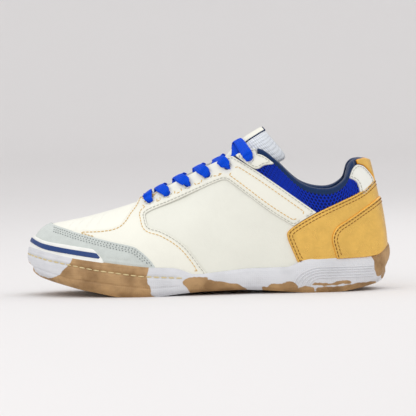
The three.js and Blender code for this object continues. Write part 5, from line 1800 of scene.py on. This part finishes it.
# ---------------------------------------------------------------- stage
def build_stage():
    """Pale curved backdrop, soft studio lights and a long-lens camera square to the shoe's outer side."""
    scene = bpy.context.scene
    colours = scene.court_shoe_colours
    scene.view_settings.view_transform = "Standard"
    floor_end, bend = 3.4, 1.2
    profile = [(-5.0, 0.0), (floor_end, 0.0)]
    for angle in np.linspace(0.1, math.pi / 2, 14):
        profile.append((floor_end + bend * math.sin(angle), bend - bend * math.cos(angle)))
    profile.append((floor_end + bend, 5.0))
    points = [(x, y, z) for y, z in profile for x in (-6.0, 6.0)]
    faces = [(2 * i, 2 * i + 1, 2 * i + 3, 2 * i + 2) for i in range(len(profile) - 1)]
    mesh = mesh_from("studio_sweep", points, faces, 60)
    mesh.materials.append(studio_paper(colours.backdrop))
    floor = bpy.data.objects.new("studio_sweep", mesh)
    scene.collection.objects.link(floor)

    world = bpy.data.worlds.new("studio_air")
    world.use_nodes = True
    background = world.node_tree.nodes["Background"]
    background.inputs["Color"].default_value = (0.985, 0.98, 0.98, 1)
    background.inputs["Strength"].default_value = 0.95
    scene.world = world

    def lamp(name, place, target, size, power):
        light = bpy.data.lights.new(name, "AREA")
        light.shape, light.size, light.size_y, light.energy = "RECTANGLE", size[0], size[1], power
        holder = bpy.data.objects.new(name, light)
        holder.location = place
        holder.rotation_euler = (Vector(target) - Vector(place)).to_track_quat("-Z", "Y").to_euler()
        scene.collection.objects.link(holder)
    lamp("overhead_softbox", (0.05, -0.1, 1.35), (0, 0, 0), (1.5, 1.2), 4)
    lamp("front_softbox", (-0.55, -1.3, 0.85), (0, 0, 0.05), (1.0, 0.8), 2.8)
    lamp("rear_fill", (0.7, 0.9, 0.8), (0, 0, 0.05), (0.8, 0.8), 1.5)

    sizes = scene.court_shoe_sizes
    camera = bpy.data.cameras.new("side_camera")
    camera.sensor_width = 36.0
    camera.lens = sizes.lens
    camera.clip_end = 50
    field = 0.3411  # metres across the picture at the shoe's middle
    elevation = math.radians(sizes.camera_elevation)
    target = Vector((SHIFT[0] * MM + 0.0003, 0.0, 0.0688))
    distance = field * camera.lens / camera.sensor_width
    back = Vector((0, -math.cos(elevation), math.sin(elevation)))
    holder = bpy.data.objects.new("side_camera", camera)
    holder.location = target + back * distance
    holder.rotation_mode = "QUATERNION"
    look = (-back).to_track_quat("-Z", "Y")
    holder.rotation_quaternion = look @ Quaternion((0, 0, 1), math.radians(-sizes.camera_roll))
    scene.collection.objects.link(holder)
    scene.camera = holder


# ---------------------------------------------------------------- settings
def colour_setting(name, description, value):
    return FloatVectorProperty(name=name, description=description, default=value, size=3, min=0, max=1,
                               subtype="COLOR")


def length_setting(name, description, value):
    return FloatProperty(name=name, description=description, default=value, min=0, subtype="DISTANCE",
                         unit="LENGTH", precision=5)


class CourtShoeSizes(bpy.types.PropertyGroup):
    """Sizes that may be changed before the pieces are made."""

    stitch_pitch: length_setting("Stitch pitch", "From one upper stitch to the next", 0.0031)
    thread_radius: length_setting("Thread radius", "Half the thickness of the upper's thread", 0.0004)
    sole_stitch_pitch: length_setting("Sole stitch pitch", "From one sidewall stitch to the next", 0.0061)
    lace_width: length_setting("Lace width", "Width of the flat lace", 0.008)
    lace_thickness: length_setting("Lace thickness", "Thickness of the flat lace", 0.0015)
    knit_pitch: length_setting("Knit pitch", "Width of one stitch of the collar knit", 0.003)
    lug_pitch: length_setting("Lug pitch", "From one tread lug to the next", 0.0062)
    lens: FloatProperty(name="Lens", description="Focal length in millimetres", default=300, min=20)
    camera_elevation: FloatProperty(name="Elevation", description="Degrees above the ground", default=2.7)
    camera_roll: FloatProperty(name="Roll", description="Degrees turned about the view", default=1.14)


class CourtShoeColours(bpy.types.PropertyGroup):
    """Colours of the pieces."""

    vamp: colour_setting("Vamp leather", "Cream leather of the toe box", srgb(242, 241, 230))
    overlay: colour_setting("Overlay leather", "Cream leather of the eyestay and strap", srgb(238, 237, 225))
    panel: colour_setting("Side leather", "Cream leather of the side panel", srgb(232, 232, 221))
    heel_tab: colour_setting("Heel tab leather", "White leather beside the heel", srgb(236, 236, 229))
    gold: colour_setting("Gold leather", "Metallic leather of the counter", srgb(236, 190, 98))
    gold_edge: colour_setting("Gold cut edge", "Bright cut edge of the gold leather", srgb(236, 165, 50))
    suede: colour_setting("Suede", "Pale suede of the toe guard", srgb(203, 209, 205))
    foxing: colour_setting("Foxing", "White rubber strip round the toe", srgb(238, 238, 233))
    stripe: colour_setting("Foxing stripe", "Navy stripe on the foxing", srgb(0, 52, 116))
    knit: colour_setting("Collar knit", "Royal blue yarn of the collar", srgb(0, 48, 182))
    navy: colour_setting("Lining", "Navy textile of the lining and binding", srgb(8, 46, 92))
    tongue: colour_setting("Tongue knit", "Pale dot knit of the tongue and linings", srgb(229, 234, 241))
    lace: colour_setting("Lace", "Royal blue lace", srgb(0, 78, 226))
    gum: colour_setting("Gum rubber", "Brown part of the cupsole", srgb(180, 143, 97))
    gum_dark: colour_setting("Dark gum rubber", "Darker clouds in the gum rubber", srgb(132, 97, 55))
    white_rubber: colour_setting("White rubber", "Pale part of the cupsole", srgb(216, 217, 221))
    tan_thread: colour_setting("Tan thread", "Thread of the cream leather", srgb(226, 190, 124))
    grey_thread: colour_setting("Grey thread", "Thread along the raised edges", srgb(202, 202, 192))
    brown_thread: colour_setting("Brown thread", "Thread of the gold leather", srgb(146, 98, 42))
    needle: colour_setting("Needle marks", "Sunken stitches of the suede", srgb(116, 124, 124))
    cream_thread: colour_setting("Cream thread", "Thread of the sidewall", srgb(226, 208, 160))
    backdrop: colour_setting("Backdrop", "Pale studio paper", srgb(229, 227, 227))


# ---------------------------------------------------------------- operators
def make_trees():
    stitch_tree()
    yarn_tree()


class COURTSHOE_OT_finishes(bpy.types.Operator):
    """Make the shoe's procedural materials and the stitch and yarn node trees, and finish the hidden inner
    parts
    """

    bl_idname = "court_shoe.finishes"
    bl_label = "Make finishes"

    def execute(self, context):
        make_finishes()
        make_trees()
        finish_inner_nodes()
        return {"FINISHED"}


class COURTSHOE_OT_stage(bpy.types.Operator):
    """Build the backdrop, the studio lights and the camera"""

    bl_idname = "court_shoe.stage"
    bl_label = "Build stage"

    def execute(self, context):
        build_stage()
        return {"FINISHED"}


class COURTSHOE_OT_cupsole(bpy.types.Operator):
    """Build the marbled cupsole with its ribs, tread lugs and sidewall stitches"""

    bl_idname = "court_shoe.cupsole"
    bl_label = "Build cupsole"

    def execute(self, context):
        build_cupsole()
        return {"FINISHED"}


class COURTSHOE_OT_sockliner(bpy.types.Operator):
    """Build the removable sockliner"""

    bl_idname = "court_shoe.sockliner"
    bl_label = "Build sockliner"

    def execute(self, context):
        build_sockliner()
        return {"FINISHED"}


class COURTSHOE_OT_linings(bpy.types.Operator):
    """Build the textile linings of the vamp and the quarters"""

    bl_idname = "court_shoe.linings"
    bl_label = "Build linings"

    def execute(self, context):
        build_linings()
        return {"FINISHED"}


class COURTSHOE_OT_vamp(bpy.types.Operator):
    """Build the leather vamp with its pressed creases"""

    bl_idname = "court_shoe.vamp"
    bl_label = "Build vamp"

    def execute(self, context):
        build_vamp()
        return {"FINISHED"}


class COURTSHOE_OT_side_panels(bpy.types.Operator):
    """Build the leather side panels"""

    bl_idname = "court_shoe.side_panels"
    bl_label = "Build side panels"

    def execute(self, context):
        build_side_panels()
        return {"FINISHED"}


class COURTSHOE_OT_collar_mesh(bpy.types.Operator):
    """Build the blue knit of the collar"""

    bl_idname = "court_shoe.collar_mesh"
    bl_label = "Build collar knit"

    def execute(self, context):
        build_collar_mesh()
        return {"FINISHED"}


class COURTSHOE_OT_overlays(bpy.types.Operator):
    """Build the eyestay and strap overlays and gather their seams"""

    bl_idname = "court_shoe.overlays"
    bl_label = "Build overlays"

    def execute(self, context):
        build_overlays()
        return {"FINISHED"}


class COURTSHOE_OT_toe(bpy.types.Operator):
    """Build the suede toe guard, the foxing and its stripe"""

    bl_idname = "court_shoe.toe"
    bl_label = "Build toe guard"

    def execute(self, context):
        build_toe()
        return {"FINISHED"}


class COURTSHOE_OT_gold(bpy.types.Operator):
    """Build the gold straps, cover and heel tab"""

    bl_idname = "court_shoe.gold"
    bl_label = "Build gold counter"

    def execute(self, context):
        build_gold()
        return {"FINISHED"}


class COURTSHOE_OT_tabs(bpy.types.Operator):
    """Build the top eyelet tabs and the white heel tabs"""

    bl_idname = "court_shoe.tabs"
    bl_label = "Build tabs"

    def execute(self, context):
        build_top_tabs()
        return {"FINISHED"}


class COURTSHOE_OT_collar(bpy.types.Operator):
    """Build the padded collar and its binding"""

    bl_idname = "court_shoe.collar"
    bl_label = "Build collar"

    def execute(self, context):
        build_collar_padding()
        build_binding()
        return {"FINISHED"}


class COURTSHOE_OT_tongue(bpy.types.Operator):
    """Build the tongue's cover and cushion"""

    bl_idname = "court_shoe.tongue"
    bl_label = "Build tongue"

    def execute(self, context):
        build_tongue()
        return {"FINISHED"}


class COURTSHOE_OT_lace(bpy.types.Operator):
    """Build the flat lace"""

    bl_idname = "court_shoe.lace"
    bl_label = "Build lace"

    def execute(self, context):
        build_lace()
        return {"FINISHED"}


class COURTSHOE_OT_seams(bpy.types.Operator):
    """Sew every row of stitches on the upper"""

    bl_idname = "court_shoe.seams"
    bl_label = "Sew seams"

    def execute(self, context):
        build_seams()
        return {"FINISHED"}


STEPS = (
    COURTSHOE_OT_finishes,
    COURTSHOE_OT_stage,
    COURTSHOE_OT_cupsole,
    COURTSHOE_OT_sockliner,
    COURTSHOE_OT_linings,
    COURTSHOE_OT_vamp,
    COURTSHOE_OT_side_panels,
    COURTSHOE_OT_collar_mesh,
    COURTSHOE_OT_overlays,
    COURTSHOE_OT_toe,
    COURTSHOE_OT_gold,
    COURTSHOE_OT_tabs,
    COURTSHOE_OT_collar,
    COURTSHOE_OT_tongue,
    COURTSHOE_OT_lace,
    COURTSHOE_OT_seams,
)


class COURTSHOE_PT_panel(bpy.types.Panel):
    """Lists the settings and the steps in order"""

    bl_idname = "COURTSHOE_PT_panel"
    bl_label = "Court Shoe"
    bl_space_type = "VIEW_3D"
    bl_region_type = "UI"
    bl_category = "Court Shoe"

    def draw(self, context):
        for settings in (context.scene.court_shoe_sizes, context.scene.court_shoe_colours):
            for name in settings.bl_rna.properties.keys():
                if name not in ("rna_type", "name"):
                    self.layout.prop(settings, name)
        for step in STEPS:
            self.layout.operator(step.bl_idname)


CLASSES = (CourtShoeSizes, CourtShoeColours, *STEPS, COURTSHOE_PT_panel)


def register():
    for cls in CLASSES:
        bpy.utils.register_class(cls)
    bpy.types.Scene.court_shoe_sizes = PointerProperty(type=CourtShoeSizes)
    bpy.types.Scene.court_shoe_colours = PointerProperty(type=CourtShoeColours)


def unregister():
    del bpy.types.Scene.court_shoe_colours
    del bpy.types.Scene.court_shoe_sizes
    for cls in reversed(CLASSES):
        bpy.utils.unregister_class(cls)


def main():
    register()
    for step in STEPS:
        group, name = step.bl_idname.split(".")
        result = getattr(getattr(bpy.ops, group), name)()
        if result != {"FINISHED"}:
            raise RuntimeError(f"{step.bl_idname} did not finish")


if __name__ == "__main__":
    main()
